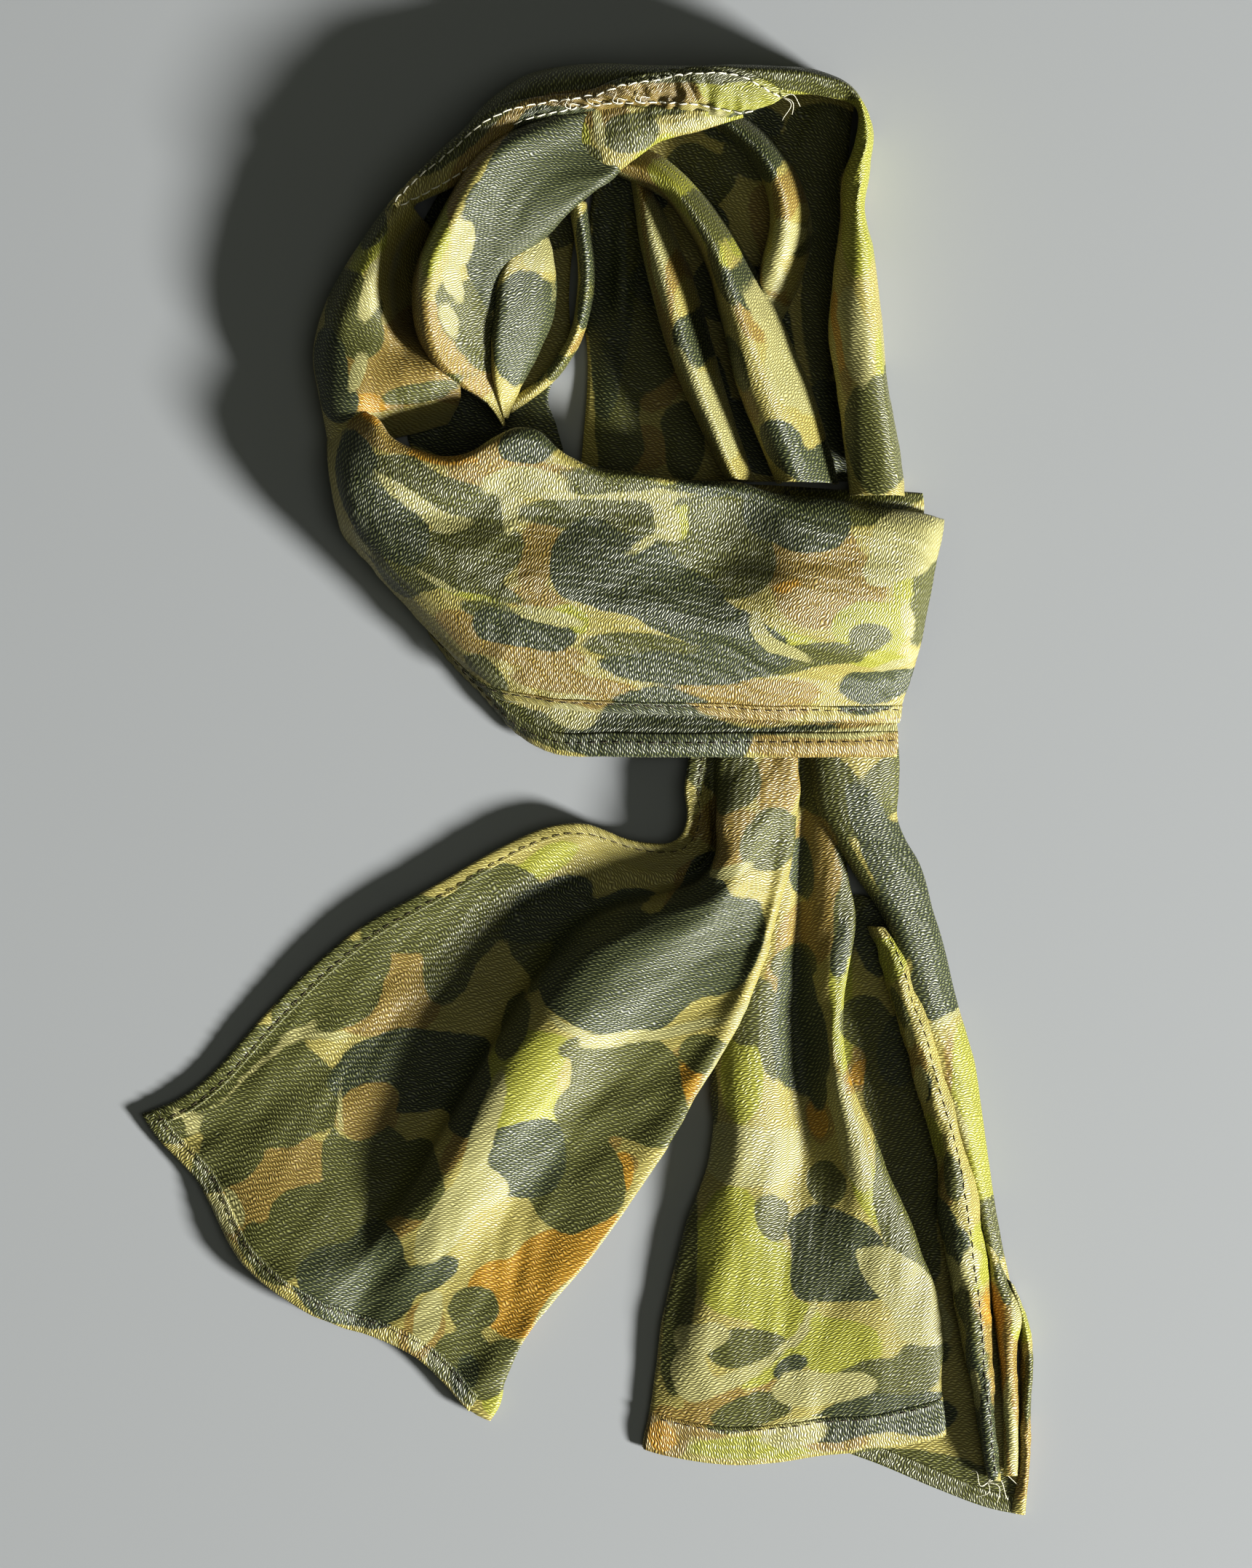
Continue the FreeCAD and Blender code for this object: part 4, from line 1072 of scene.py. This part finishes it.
def neck_wrap():
    made = {}
    front = loft([
        [(-90, 128, 10), (-80, 129, 14), (-66, 120, 18), (-50, 117, 22), (-36, 123, 24), (-24, 127, 24),
            (-8, 117, 23), (10, 113, 22), (35, 110, 20), (60, 108, 18), (80, 104, 17), (105, 100, 15),
            (128, 96, 9)],
        [(-99, 139, 11), (-91, 143.5, 21), (-82, 142.5, 26), (-76, 135, 28), (-68, 130.5, 29),
            (-55, 127, 31), (-45, 128.5, 33), (-36, 134.5, 34), (-27, 138, 34), (-19, 136.5, 34),
            (-12, 129.5, 33), (-3, 124.5, 31), (5, 122, 30), (15, 121, 29), (30, 119, 28),
            (45, 117.5, 27), (57, 117, 26), (65, 114.5, 25), (75, 112, 24), (90, 111, 21),
            (105, 108.5, 18), (120, 106.5, 16), (130, 104.5, 12), (135, 103.5, 8)],
        [(-100, 134, 14), (-91, 138, 26), (-82, 137, 31), (-75, 131, 33), (-66, 127, 34),
            (-52, 124.5, 36), (-38, 130.5, 38), (-27, 134, 39), (-18, 132, 38), (-10, 126, 36.5),
            (5, 120, 35), (20, 119, 34), (40, 116, 33), (57, 114.5, 31), (72, 110, 29), (90, 109, 26),
            (105, 106.5, 23.5), (120, 104, 21), (130, 102, 17), (135, 101, 10)],
        [(-99.5, 122, 19), (-94, 122, 29), (-86, 121, 32), (-76, 118, 33.5), (-62, 115, 34),
            (-48, 115, 34.5), (-30, 119, 35), (-15, 116, 34.5), (5, 113.5, 33.5), (25, 112, 32.5),
            (40, 109, 30.5), (52, 108, 28.5), (62, 107, 29), (76, 104, 31.5), (95, 102.5, 29.5),
            (114, 99, 26.5), (128, 96, 22), (134, 95, 12)],
        [(-98, 112, 19), (-92, 111, 29), (-84, 109.5, 32), (-74, 107, 32.5), (-60, 104, 31),
            (-40, 104, 31), (-15, 104, 31), (10, 103, 31), (26, 101, 30.5), (38, 98, 28.5), (50, 97, 27),
            (62, 96, 28.5), (79, 93, 33), (95, 91, 32), (113, 88, 29), (126, 85.5, 24.5), (131.5, 84, 13)],
        [(-96, 103, 17), (-90, 101, 27), (-82, 98.5, 31), (-72, 95, 33.5), (-58, 91, 35), (-35, 88, 36.5),
            (-12, 86, 37), (8, 85, 36), (24, 83, 34), (36, 81, 31.5), (46, 79, 30.5), (58, 78, 32),
            (76, 75, 36.5), (95, 72, 34.5), (111, 71, 31), (124, 70, 25.5), (129, 70, 14)],
        [(-93.5, 96, 9), (-87, 91.5, 22), (-79, 87, 27.5), (-69, 83, 31), (-55, 79, 35.5),
            (-35, 75.5, 38), (-12, 71, 39), (8, 67, 39), (28, 64, 38.5), (45, 61.5, 37.5),
            (62, 59.5, 36.5), (80, 57, 35), (98, 55, 32), (110, 54, 28.5), (121.5, 55, 23.5),
            (126, 55, 13)],
        [(-88, 90, 4), (-81, 82.5, 16), (-73, 77, 21), (-64, 71, 25), (-52, 66, 29), (-34, 63, 32),
            (-12, 60, 33.5), (8, 57, 34), (28, 55, 34), (48, 53, 33.5), (66, 51.5, 32), (82, 50, 30),
            (98, 48.5, 27.5), (109, 47.5, 24), (119.5, 48, 19.5), (124, 48, 11)],
        [(-80, 82, 3), (-71, 71, 10), (-60, 61, 17), (-47, 54, 23), (-32, 51, 27), (-12, 48.5, 28.5),
            (8, 46.5, 29), (28, 45, 29), (48, 44, 28.5), (66, 43, 27.5), (82, 42.5, 25.5), (98, 42, 22.5),
            (110, 41.5, 18.5), (122, 41, 10)],
        [(-70, 72, 3), (-62, 62, 8), (-52, 51, 14), (-40, 43, 19), (-28, 39.5, 22), (-10, 37.5, 24),
            (8, 36, 25), (28, 35, 25), (48, 34, 24.5), (66, 33.5, 24), (82, 33, 22.5), (98, 33, 20),
            (109, 33.5, 17), (119.5, 34, 10)],
        [(-60, 61, 2.5), (-52, 51, 6), (-43, 41, 11), (-33, 34.5, 15), (-22, 33, 18), (-8, 31, 20),
            (8, 29.7, 21), (28, 29, 21), (48, 28.2, 20.5), (66, 27, 20), (82, 26.3, 19), (98, 26, 17),
            (108, 26, 15), (118, 26, 10)],
    ])
    front = ruffle(front, 0.6, 8, 55, 23)
    made["neck_wrap_front"] = cloth("neck_wrap_front", front, "wrap", nodes=["neck_wrap_front"])
    made["wrap_upper_hem"] = hem("wrap_upper_hem", front, "last", "wrap", nodes=["wrap_upper_hem"], seed=61)
    made["wrap_upper_hem_stitches"] = hem_stitches("wrap_upper_hem_stitches", front, "last",
                                                   nodes=["wrap_upper_hem_stitches"], seed=62)
    under = loft([
        [(-64, 66, 2), (-54, 56, 5), (-44, 47, 9), (-30, 40, 13), (-10, 37, 15), (20, 36, 15.5),
            (60, 35, 15.5), (100, 34, 13), (117, 34, 8)],
        [(-61, 60, 1.5), (-52, 50, 3.5), (-43, 41, 7), (-31, 33, 11), (-12, 30, 14), (15, 28.5, 15),
            (60, 28, 15), (100, 27.5, 12.5), (117, 27.5, 8)],
        [(-60, 58, 1), (-51, 47, 2), (-42, 38, 4), (-31, 28, 8), (-16, 23.5, 13), (10, 23, 16),
            (60, 23, 16.5), (100, 23, 14), (117.5, 23, 8.5)],
        [(-60, 57.5, 0.8), (-50, 46, 1.5), (-41, 37, 2.5), (-30, 25, 5), (-18, 18.5, 10), (10, 17.5, 16),
            (60, 18, 17), (100, 18, 14.5), (117.5, 18, 8.5)],
        [(-59, 57, 0.6), (-49, 45, 1), (-40, 36.5, 1.5), (-29, 23, 3), (-14, 14.5, 8), (10, 13.2, 13.5),
            (60, 13, 14.5), (100, 13, 12.5), (117, 13, 8)],
    ])
    under = ruffle(under, 0.4, 6, 40, 24)
    made["neck_wrap_under_layer"] = cloth("neck_wrap_under_layer", under, "wrap",
                                          nodes=["neck_wrap_under_layer"])
    made["wrap_lower_hem"] = hem("wrap_lower_hem", under, "last", "wrap", nodes=["wrap_lower_hem"],
                                 width=9.6, seed=63)
    made["wrap_lower_hem_stitches"] = hem_stitches("wrap_lower_hem_stitches", under, "last",
                                                   nodes=["wrap_lower_hem_stitches"], inset=6.0, seed=64)
    tab = loft([
        [(76, 114.5, 12), (92, 114.6, 13), (110, 114.5, 12), (127, 113.5, 8)],
        [(77, 111, 15), (92, 110.5, 17), (110, 110, 15), (127.5, 109, 9)],
        [(78, 104, 15), (92, 104, 16), (110, 103, 14), (127, 102, 8)],
        [(80, 96, 12), (92, 96, 12), (110, 96, 11), (124, 95, 7)],
    ])
    made["wrap_back_tab"] = cloth("wrap_back_tab", ruffle(tab, 0.3, 6, 30, 25), "wrap",
                                  nodes=["wrap_back_tab"])
    back = loft([
        [(-90, 126, 3), (-60, 120, 2), (-20, 118, 1.5), (30, 118, 1.5), (80, 116, 2), (124, 112, 4)],
        [(-92, 112, 1.5), (-60, 105, 0.8), (-20, 100, 0.8), (30, 98, 0.8), (80, 96, 0.8), (126, 96, 3)],
        [(-88, 94, 1), (-55, 82, 0.8), (-20, 72, 0.8), (30, 66, 0.8), (80, 62, 0.8), (121, 64, 3)],
        [(-72, 76, 0.8), (-48, 56, 0.8), (-16, 44, 0.8), (30, 40, 0.8), (80, 38, 0.8), (117, 40, 3)],
        [(-56, 56, 0.8), (-40, 38, 0.8), (-14, 22, 1.2), (30, 18, 1), (80, 18, 1), (113, 19, 3)],
    ], step=2.0)
    made["neck_wrap_back"] = cloth("neck_wrap_back", ruffle(back, 0.3, 9, 40, 26), "wrap",
                                   nodes=["neck_wrap_back"])
    return made


# Left tail

def left_tail():
    made = {}
    panel = loft([
        [(40, 34, 7), (38, 12, 9), (36.5, 0, 13), (37.5, -10, 14), (35.5, -17, 13), (31, -20.5, 10),
            (22, -20.5, 8), (13, -18.5, 7.5), (6, -15.5, 8), (-2, -13, 9), (-15, -14, 9), (-32, -21, 8.5),
            (-60, -37, 8), (-85, -51, 7), (-103, -65, 6), (-125, -87, 5), (-145, -109, 4),
            (-157, -118, 4), (-171, -124, 3)],
        [(42, 34, 7), (41, 12, 9), (41, 0, 12), (42.5, -10, 12), (42, -19, 9), (36, -25.5, 6),
            (26, -27, 5), (14, -25.5, 5), (4, -22.5, 6), (-6, -20, 8.5), (-18, -21, 9), (-35, -28.5, 8),
            (-61, -45, 7), (-84, -60, 6), (-103, -75, 5), (-125, -98, 4), (-144, -118, 4),
            (-158, -130, 4), (-165, -133, 3)],
        [(44, 34, 7), (44, 12, 9), (44.5, 0, 10), (46, -12, 9), (45.5, -22, 6), (38, -30, 3.5),
            (26, -32, 3), (10, -31, 3.5), (-4, -29, 4.5), (-20, -32, 6), (-38, -40, 6), (-60, -58, 5),
            (-82, -79, 4), (-104, -101, 4), (-126, -124, 4.5), (-143, -143, 5), (-150, -149, 4)],
        [(45, 34, 7), (46, 12, 9), (46, 0, 8), (47, -12, 7), (46.5, -23, 4), (39, -32, 2.5), (26, -36, 2),
            (8, -38, 2), (-8, -39, 2), (-26, -47, 2.5), (-44, -62, 2.5), (-62, -84, 2.5), (-80, -108, 3),
            (-99, -133, 4), (-115, -157, 8.5), (-127, -176, 10.5), (-132, -181, 8)],
        [(46, 34, 7), (47.5, 12, 9), (47.5, 0, 8), (48, -12, 7), (47.5, -24, 4), (40, -33.5, 3),
            (27, -39, 2.5), (10, -43, 2), (-5, -50, 2), (-19, -64, 2), (-32, -84, 2), (-45, -106, 2.5),
            (-58, -128, 3), (-72, -151, 4.5), (-88, -175, 9.5), (-101, -193, 11.5), (-108, -199, 9)],
        [(48, 34, 7), (49, 12, 11), (48.5, 0, 13), (47.8, -12, 18), (47.5, -25, 16), (42, -35, 14),
            (29, -41, 14), (13, -45.5, 14), (-1, -53, 14), (-15, -67, 14), (-28, -86, 14),
            (-41, -107, 14), (-53, -128, 14), (-66, -150, 12.5), (-80, -173, 10.5), (-92, -192, 9),
            (-100, -202.5, 7)],
        [(52, 34, 8), (52.5, 12, 12), (51, 0, 15), (49.8, -12, 20.5), (50, -26, 20.5), (45, -38, 21),
            (33, -45, 22), (18, -51, 22.5), (4, -59, 23), (-10, -73, 23), (-23, -92, 22.5),
            (-36, -112, 21.5), (-48, -132, 20), (-60, -153, 17.5), (-73, -175, 12), (-85, -193, 6.5),
            (-93, -205.5, 4)],
        [(57, 34, 8), (58, 12, 13), (57.5, 0, 17), (57, -12, 21), (56.5, -28, 22.5), (49, -43, 23.5),
            (38, -52, 24.5), (24, -60, 25), (10, -70, 25), (-3, -85, 24.5), (-16, -103, 23.5),
            (-29, -122, 22), (-41, -141, 20.5), (-53, -160, 17.5), (-65, -180, 12.5), (-76, -197, 8),
            (-84, -208, 5)],
        [(64, 34, 8), (65, 12, 13), (65.5, 0, 17), (65.5, -14, 18.5), (63, -32, 19), (56, -50, 17.5),
            (46, -64, 16), (34, -78, 15), (20, -94, 14), (6, -112, 12.5), (-8, -132, 11.5),
            (-21, -151, 10.5), (-34, -169, 9.5), (-46, -187, 9), (-58, -204, 8.5), (-67, -216, 6)],
        [(70, 34, 8), (71, 12, 12), (71.5, 0, 15), (71, -16, 16), (68.5, -36, 15.5), (62.5, -56, 14.5),
            (54, -74, 14), (44, -91, 13.5), (31, -110, 13), (17, -130, 12.5), (3, -150, 12),
            (-11, -169, 10.5), (-25, -187, 9), (-38, -204, 8), (-48, -219, 6.5), (-55, -227, 5)],
        [(76, 34, 8), (77, 12, 12), (77.5, 0, 13), (75.5, -20, 14.5), (71, -41, 15.5), (64.5, -63, 16),
            (54, -87, 15.5), (39.5, -112, 15), (22, -140, 13.5), (5, -163, 12), (-10, -182, 10.5),
            (-24, -200, 9), (-35, -216, 9), (-42, -230, 7.5), (-46, -237, 5)],
        [(79, 34, 7), (80, 12, 10), (80, 0, 11), (77.8, -20, 12), (73.5, -40, 12.5), (67, -64, 13.5),
            (56, -90, 13.5), (41, -117, 13.5), (22, -148, 12), (2, -176, 10.5), (-13, -194, 9),
            (-24, -208, 9.5), (-31, -222, 7.5), (-34, -234, 6), (-38, -241, 4)],
        [(77, 34, 6), (77, 12, 8), (77, 0, 8.5), (75, -20, 8.5), (70.5, -40, 9), (63.5, -64, 9),
            (52, -90, 9), (37, -117, 9.5), (18, -147, 9.5), (-2, -175, 8.5), (-16, -192, 7),
            (-27, -206, 5.5), (-34, -221, 4), (-37, -232, 3), (-40, -239, 2.5)],
        [(70, 34, 5.5), (68, 12, 6.5), (68, 0, 6.5), (66, -20, 7), (61, -40, 7), (54, -62, 7),
            (43, -86, 7), (28, -112, 7), (9, -142, 6), (-9, -168, 5), (-23, -186, 4), (-34, -202, 3),
            (-40, -216, 2.5), (-43, -227, 2.5), (-44, -234, 2)],
    ])
    panel = ruffle(panel, 0.65, 10, 60, 27)
    made["left_tail_panel"] = cloth(
        "left_tail_panel", panel, "left", LEFT,
        ["left_tail_outer_panel", "left_tail_centre_fold", "left_tail_folded_edge", "left_tail_root",
         "left_tail_throat_twist"],
    )
    made["left_tail_side_hem"] = hem("left_tail_side_hem", panel, "first", "left", LEFT,
                                     ["left_tail_side_hem"],
                                     pucker=0.4, seed=65)
    made["left_tail_side_stitches"] = hem_stitches("left_tail_side_stitches", panel, "first", LEFT,
                                                   ["left_tail_side_stitches"], seed=66)
    made["left_tail_end_hem"] = hem("left_tail_end_hem", panel[:-14], "end", "left", LEFT,
                                    ["left_tail_end_hem"], width=7.0, seed=67)
    made["left_tail_end_stitches"] = hem_stitches("left_tail_end_stitches", panel[:-16], "end", LEFT,
                                                  ["left_tail_end_stitches"], inset=5.4, seed=68)
    return made


# Right tail

def right_tail():
    made = {}
    front = loft([
        [(74, 30, 3), (72, 5, 3), (70, -30, 3), (64, -60, 3), (56, -90, 3), (50, -116, 2.5),
            (50, -140, 2), (43, -160, 2), (38, -178, 2), (34, -195, 1.5), (30, -215, 1.5),
            (27, -235, 1.2), (24, -250, 1)],
        [(72, 30, 5), (70, 5, 5), (67, -30, 5), (60, -60, 5), (51, -90, 5.5), (46, -114, 6),
            (47.5, -127, 6), (46, -140, 6), (42, -152, 5.5), (38, -162, 5.5), (34.5, -175, 5.5),
            (30.5, -190, 5), (27, -205, 5), (25, -220, 4.5), (23, -235, 4), (20, -251, 2.5)],
        [(74, 30, 7), (72, 5, 7), (69, -30, 8), (63, -60, 8), (55, -90, 9), (50, -114, 10),
            (51, -127, 10), (50, -140, 10), (46, -152, 9), (42, -165, 8.5), (38.5, -180, 8),
            (35, -195, 7.5), (31, -210, 7), (29, -225, 6), (27, -240, 5), (25, -253, 3)],
        [(77, 30, 8), (76, 5, 8), (73, -30, 9), (68, -60, 9.5), (62, -90, 11), (58, -115, 13),
            (57, -135, 14), (54, -155, 14), (50, -175, 13), (46, -195, 12), (42, -215, 10.5),
            (40, -235, 8), (40, -256, 4)],
        [(79, 30, 8), (79, 5, 7), (77, -30, 8), (74, -60, 8), (71, -90, 9), (70, -112, 11),
            (69, -132, 12.5), (66, -152, 13.5), (62, -172, 13.5), (58, -192, 12.5), (56, -214, 11),
            (55, -236, 8), (55, -257.5, 4)],
        [(81, 30, 7), (81.5, 5, 6), (80.5, -30, 5), (79.5, -60, 3.5), (79, -88, 3), (80, -108, 3),
            (82, -125, 4.5), (82, -145, 7.5), (80, -165, 10), (77, -188, 11), (74, -212, 10),
            (72, -236, 7.5), (72, -256.5, 4)],
        [(84, 30, 8), (85, 5, 8), (86, -30, 9), (87, -58, 9.5), (87.5, -85, 9), (88.5, -106, 8.5),
            (91, -125, 9), (93, -148, 11), (95, -168, 12.5), (94, -190, 12.5), (92, -212, 11),
            (90, -234, 8), (88, -254, 4)],
        [(87, 30, 8), (89, 5, 9), (92, -28, 11), (94, -55, 12), (92.5, -82, 13), (93, -102, 14),
            (97, -124, 15), (103, -146, 15.5), (109, -166, 15), (114, -188, 14), (115, -210, 12),
            (112, -232, 8.5), (108, -252, 4)],
        [(90, 30, 7), (92, 5, 8), (98, -28, 9.5), (101, -48, 10), (99.5, -65, 11), (96.5, -84, 11.5),
            (97, -100, 12), (102, -119, 12), (109.5, -136, 12), (118, -156, 11.5), (126, -175, 11),
            (132, -192, 10), (135, -208, 8), (134, -226, 6), (136, -246, 3.5)],
        [(88, 30, 5), (90, 5, 5), (95, -28, 6), (97.5, -48, 6), (96, -65, 6), (93, -84, 6), (94, -100, 6),
            (99, -119, 5), (106.5, -137, 4.5), (115, -157, 4), (123, -176, 4), (129, -193, 4),
            (132, -208, 3), (131, -226, 2.5), (133, -244, 2)],
    ])
    front = ruffle(front, 0.6, 10, 55, 28)
    made["right_tail_front_panel"] = cloth("right_tail_front_panel", front, "right", RIGHT,
                                           ["right_tail_front_panel", "right_tail_root"])
    made["right_tail_end_hem"] = hem("right_tail_end_hem", front[5:-5], "end", "right", RIGHT,
                                     ["right_tail_end_hem"],
                                     width=14.5, lift=0.6, seed=69)
    made["right_tail_end_stitches"] = hem_stitches("right_tail_end_stitches", front[7:-7], "end", RIGHT,
                                                   ["right_tail_end_stitches"], inset=13.2, lift=0.6,
                                                       seed=70)
    rear = arch(
        [(82, 30), (84, 5), (88, -10), (95, -22), (103, -35), (110, -45), (115, -56), (119, -72),
            (124, -88), (130, -105), (137, -124), (143, -142), (148, -160), (152, -182)],
        [(117, 30), (118.5, 5), (117.5, -8), (120.5, -18), (127, -30), (131, -45), (135.5, -60),
            (139, -75), (142.5, -88), (146, -100), (149, -118), (151.5, -135), (153.5, -150), (156, -165),
            (161, -190)],
        [10, 13, 15, 15.5, 15, 14, 13, 11, 9], [4, 5, 6, 6, 5, 4, 3, 2], LEAN_LEFT, 2)
    made["right_tail_rear_panel"] = cloth("right_tail_rear_panel", ruffle(rear, 0.5, 8, 50, 29), "right",
                                          RIGHT,
                                          ["right_tail_rear_panel"])
    strip = arch(
        [(106, -52), (111, -64), (115, -80), (120, -95), (125, -115), (130, -130), (133.5, -146),
            (132, -156), (134, -168), (138, -186), (142, -210), (147, -236), (150, -256), (152, -263)],
        [(113, -52), (121, -64), (126.5, -80), (132, -95), (137, -112), (142, -130), (146, -146),
            (149, -160), (150.5, -174), (152, -190), (153, -212), (154.5, -236), (156, -256), (157, -264)],
        [14, 18, 19, 19, 18, 17, 14, 8], 2, ROUND, step=1.0)
    strip = ruffle(strip, 0.8, 5, 15, 30)
    made["right_tail_side_hem"] = cloth("right_tail_side_hem", strip, "strip", RIGHT,
                                        ["right_tail_side_hem"],
                                        slot="hem_cloth", thick=0.7)
    row = int(strip.shape[0] * 0.55)
    paths = stitch_paths(strip[row], normals_of(strip)[row], 0.0, radius=0.15, seed=71)
    made["right_tail_side_stitches"] = threads("right_tail_side_stitches", paths, dark_thread,
        "dark_thread", RIGHT,
                                               ["right_tail_side_stitches"])
    inner = arch(
        [(150, -172), (152, -182), (154, -196), (156, -214), (157.5, -236), (158, -262)],
        [(155, -176), (161, -190), (165, -200), (163, -214), (164, -236), (163.5, -262)],
        [10, 12, 13, 12, 9, 6], 2, ROUND, step=1.0)
    made["right_tail_inner_strip"] = cloth("right_tail_inner_strip", ruffle(inner, 0.5, 4, 20, 31),
                                           "strip", RIGHT,
                                           ["right_tail_inner_strip"])
    outer = arch(
        [(158, -186), (162, -200), (164, -216), (164, -236), (163.5, -262), (161, -276)],
        [(162, -189), (166.5, -200), (169, -214), (168.5, -236), (168, -258), (166.5, -277)],
        [9, 10, 10, 8, 6, 3], 1, LEAN_RIGHT, step=1.0)
    made["right_tail_outer_curl"] = cloth("right_tail_outer_curl", ruffle(outer, 0.6, 4, 12, 32), "strip",
                                          RIGHT)
    under = loft([
        [(98, -40, 3), (94, -70, 2), (90, -100, 2), (96, -130, 1.5), (108, -165, 1.5), (120, -200, 1.2),
            (112, -235, 1.2), (97, -252.5, 1)],
        [(104, -40, 4), (103, -70, 3), (102, -100, 2.5), (110, -130, 2), (121, -165, 2), (131, -200, 1.5),
            (126, -240, 1.5), (112, -258, 1)],
        [(110, -42, 4), (113, -70, 3), (116, -100, 2.5), (124, -130, 2), (133, -165, 2), (140, -200, 1.5),
            (140, -240, 1.5), (132, -266.5, 1)],
        [(116, -44, 4), (122, -72, 3), (128, -100, 2.5), (136, -130, 2), (144, -165, 2), (150, -200, 1.5),
            (154, -240, 1.5), (152, -274, 1)],
        [(120, -46, 3), (128, -74, 2), (135, -102, 1.5), (142, -130, 1.2), (150, -165, 1.2),
            (158, -198, 1), (166, -240, 1), (166, -277, 1)],
    ])
    under = ruffle(under, 0.4, 8, 40, 34)
    corner = under[-2, -1]
    made["right_tail_loose_threads"] = threads(
        "right_tail_loose_threads", loose_ends(corner + (-12, 12, 2), [(9, -4), (12, 1), (5, -7), (-7, 3),
            (-3, -6)], 73),
        pale_thread, "pale_thread", RIGHT)
    made["right_tail_under_panel"] = cloth("right_tail_under_panel", under, "right", RIGHT,
                                           ["right_tail_under_panel"])
    made["right_tail_under_hem"] = hem("right_tail_under_hem", under, "end", "right", RIGHT,
                                       ["right_tail_under_hem"],
                                       lift=0.6, seed=72)
    return made


# The studio: a plain pale floor, a soft key from the lower right, and weak light all round

FLOOR_SIZE = 24.0          # metres, so that its edge is past every view
WORLD_STRENGTH = 0.055


def studio():
    bpy.ops.mesh.primitive_plane_add(size=FLOOR_SIZE, location=(0, 0, 0))
    floor = bpy.context.object
    floor.name = "floor"
    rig.stage(floor)
    n = Nodes("pale floor")
    n.shader.inputs["Base Color"].default_value = rgb(0.61, 0.62, 0.63)
    n.shader.inputs["Roughness"].default_value = 1.0
    n.shader.inputs["Specular IOR Level"].default_value = 0.0
    floor.data.materials.append(n.material)

    def area(name, toward, distance, size, power, colour=(1, 1, 1)):
        lamp = bpy.data.lights.new(name, "AREA")
        lamp.shape = "DISK"
        lamp.size = size
        lamp.energy = power
        lamp.color = colour
        lamp_object = bpy.data.objects.new(name, lamp)
        bpy.context.scene.collection.objects.link(lamp_object)
        direction = np.array(toward, float) / np.linalg.norm(toward)
        lamp_object.location = direction * distance
        lamp_object.rotation_euler = Vector(-direction).to_track_quat("-Z", "Y").to_euler()

    area("key", (0.80, -0.42, 0.405), 6.0, 1.15, 960.0, (1.0, 0.99, 0.96))
    area("fill", (0.25, -0.1, 1.0), 5.0, 3.0, 25.0, (0.98, 1.0, 0.90))
    world = bpy.data.worlds.new("studio")
    bpy.context.scene.world = world
    world.use_nodes = True
    world.node_tree.nodes["Background"].inputs[0].default_value = (0.93, 0.97, 0.74, 1)
    world.node_tree.nodes["Background"].inputs[1].default_value = WORLD_STRENGTH


VIEW_HEIGHT = 600.0       # millimetres of the surface from the bottom to the top of the picture
VIEW_CENTRE = (13.8, 2.4)
LENS = 200.0              # millimetres, as is the sensor
SENSOR = 36.0


def camera():
    data = bpy.data.cameras.new("camera")
    data.lens = LENS
    data.sensor_width = SENSOR
    view = bpy.data.objects.new("camera", data)
    bpy.context.scene.collection.objects.link(view)
    distance = VIEW_HEIGHT * LENS / SENSOR
    view.location = (VIEW_CENTRE[0] * MM, VIEW_CENTRE[1] * MM, distance * MM)
    bpy.context.scene.camera = view
    bpy.context.scene.view_settings.view_transform = "Standard"
    bpy.context.scene.view_settings.look = "Medium High Contrast"


pieces = {}
for group in (hood, neck_wrap, left_tail, right_tail):
    pieces.update(group())
for name, piece in pieces.items():
    if piece.name in flat_sizes:
        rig.sheet(piece, flat=flat_sizes[piece.name], held="laid")
studio()
camera()

visual_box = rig.bounds()
with open("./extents.json", "w") as out:
    json.dump({"cad": [list(v) for v in cad_box], "visual": [list(v) for v in visual_box]}, out)
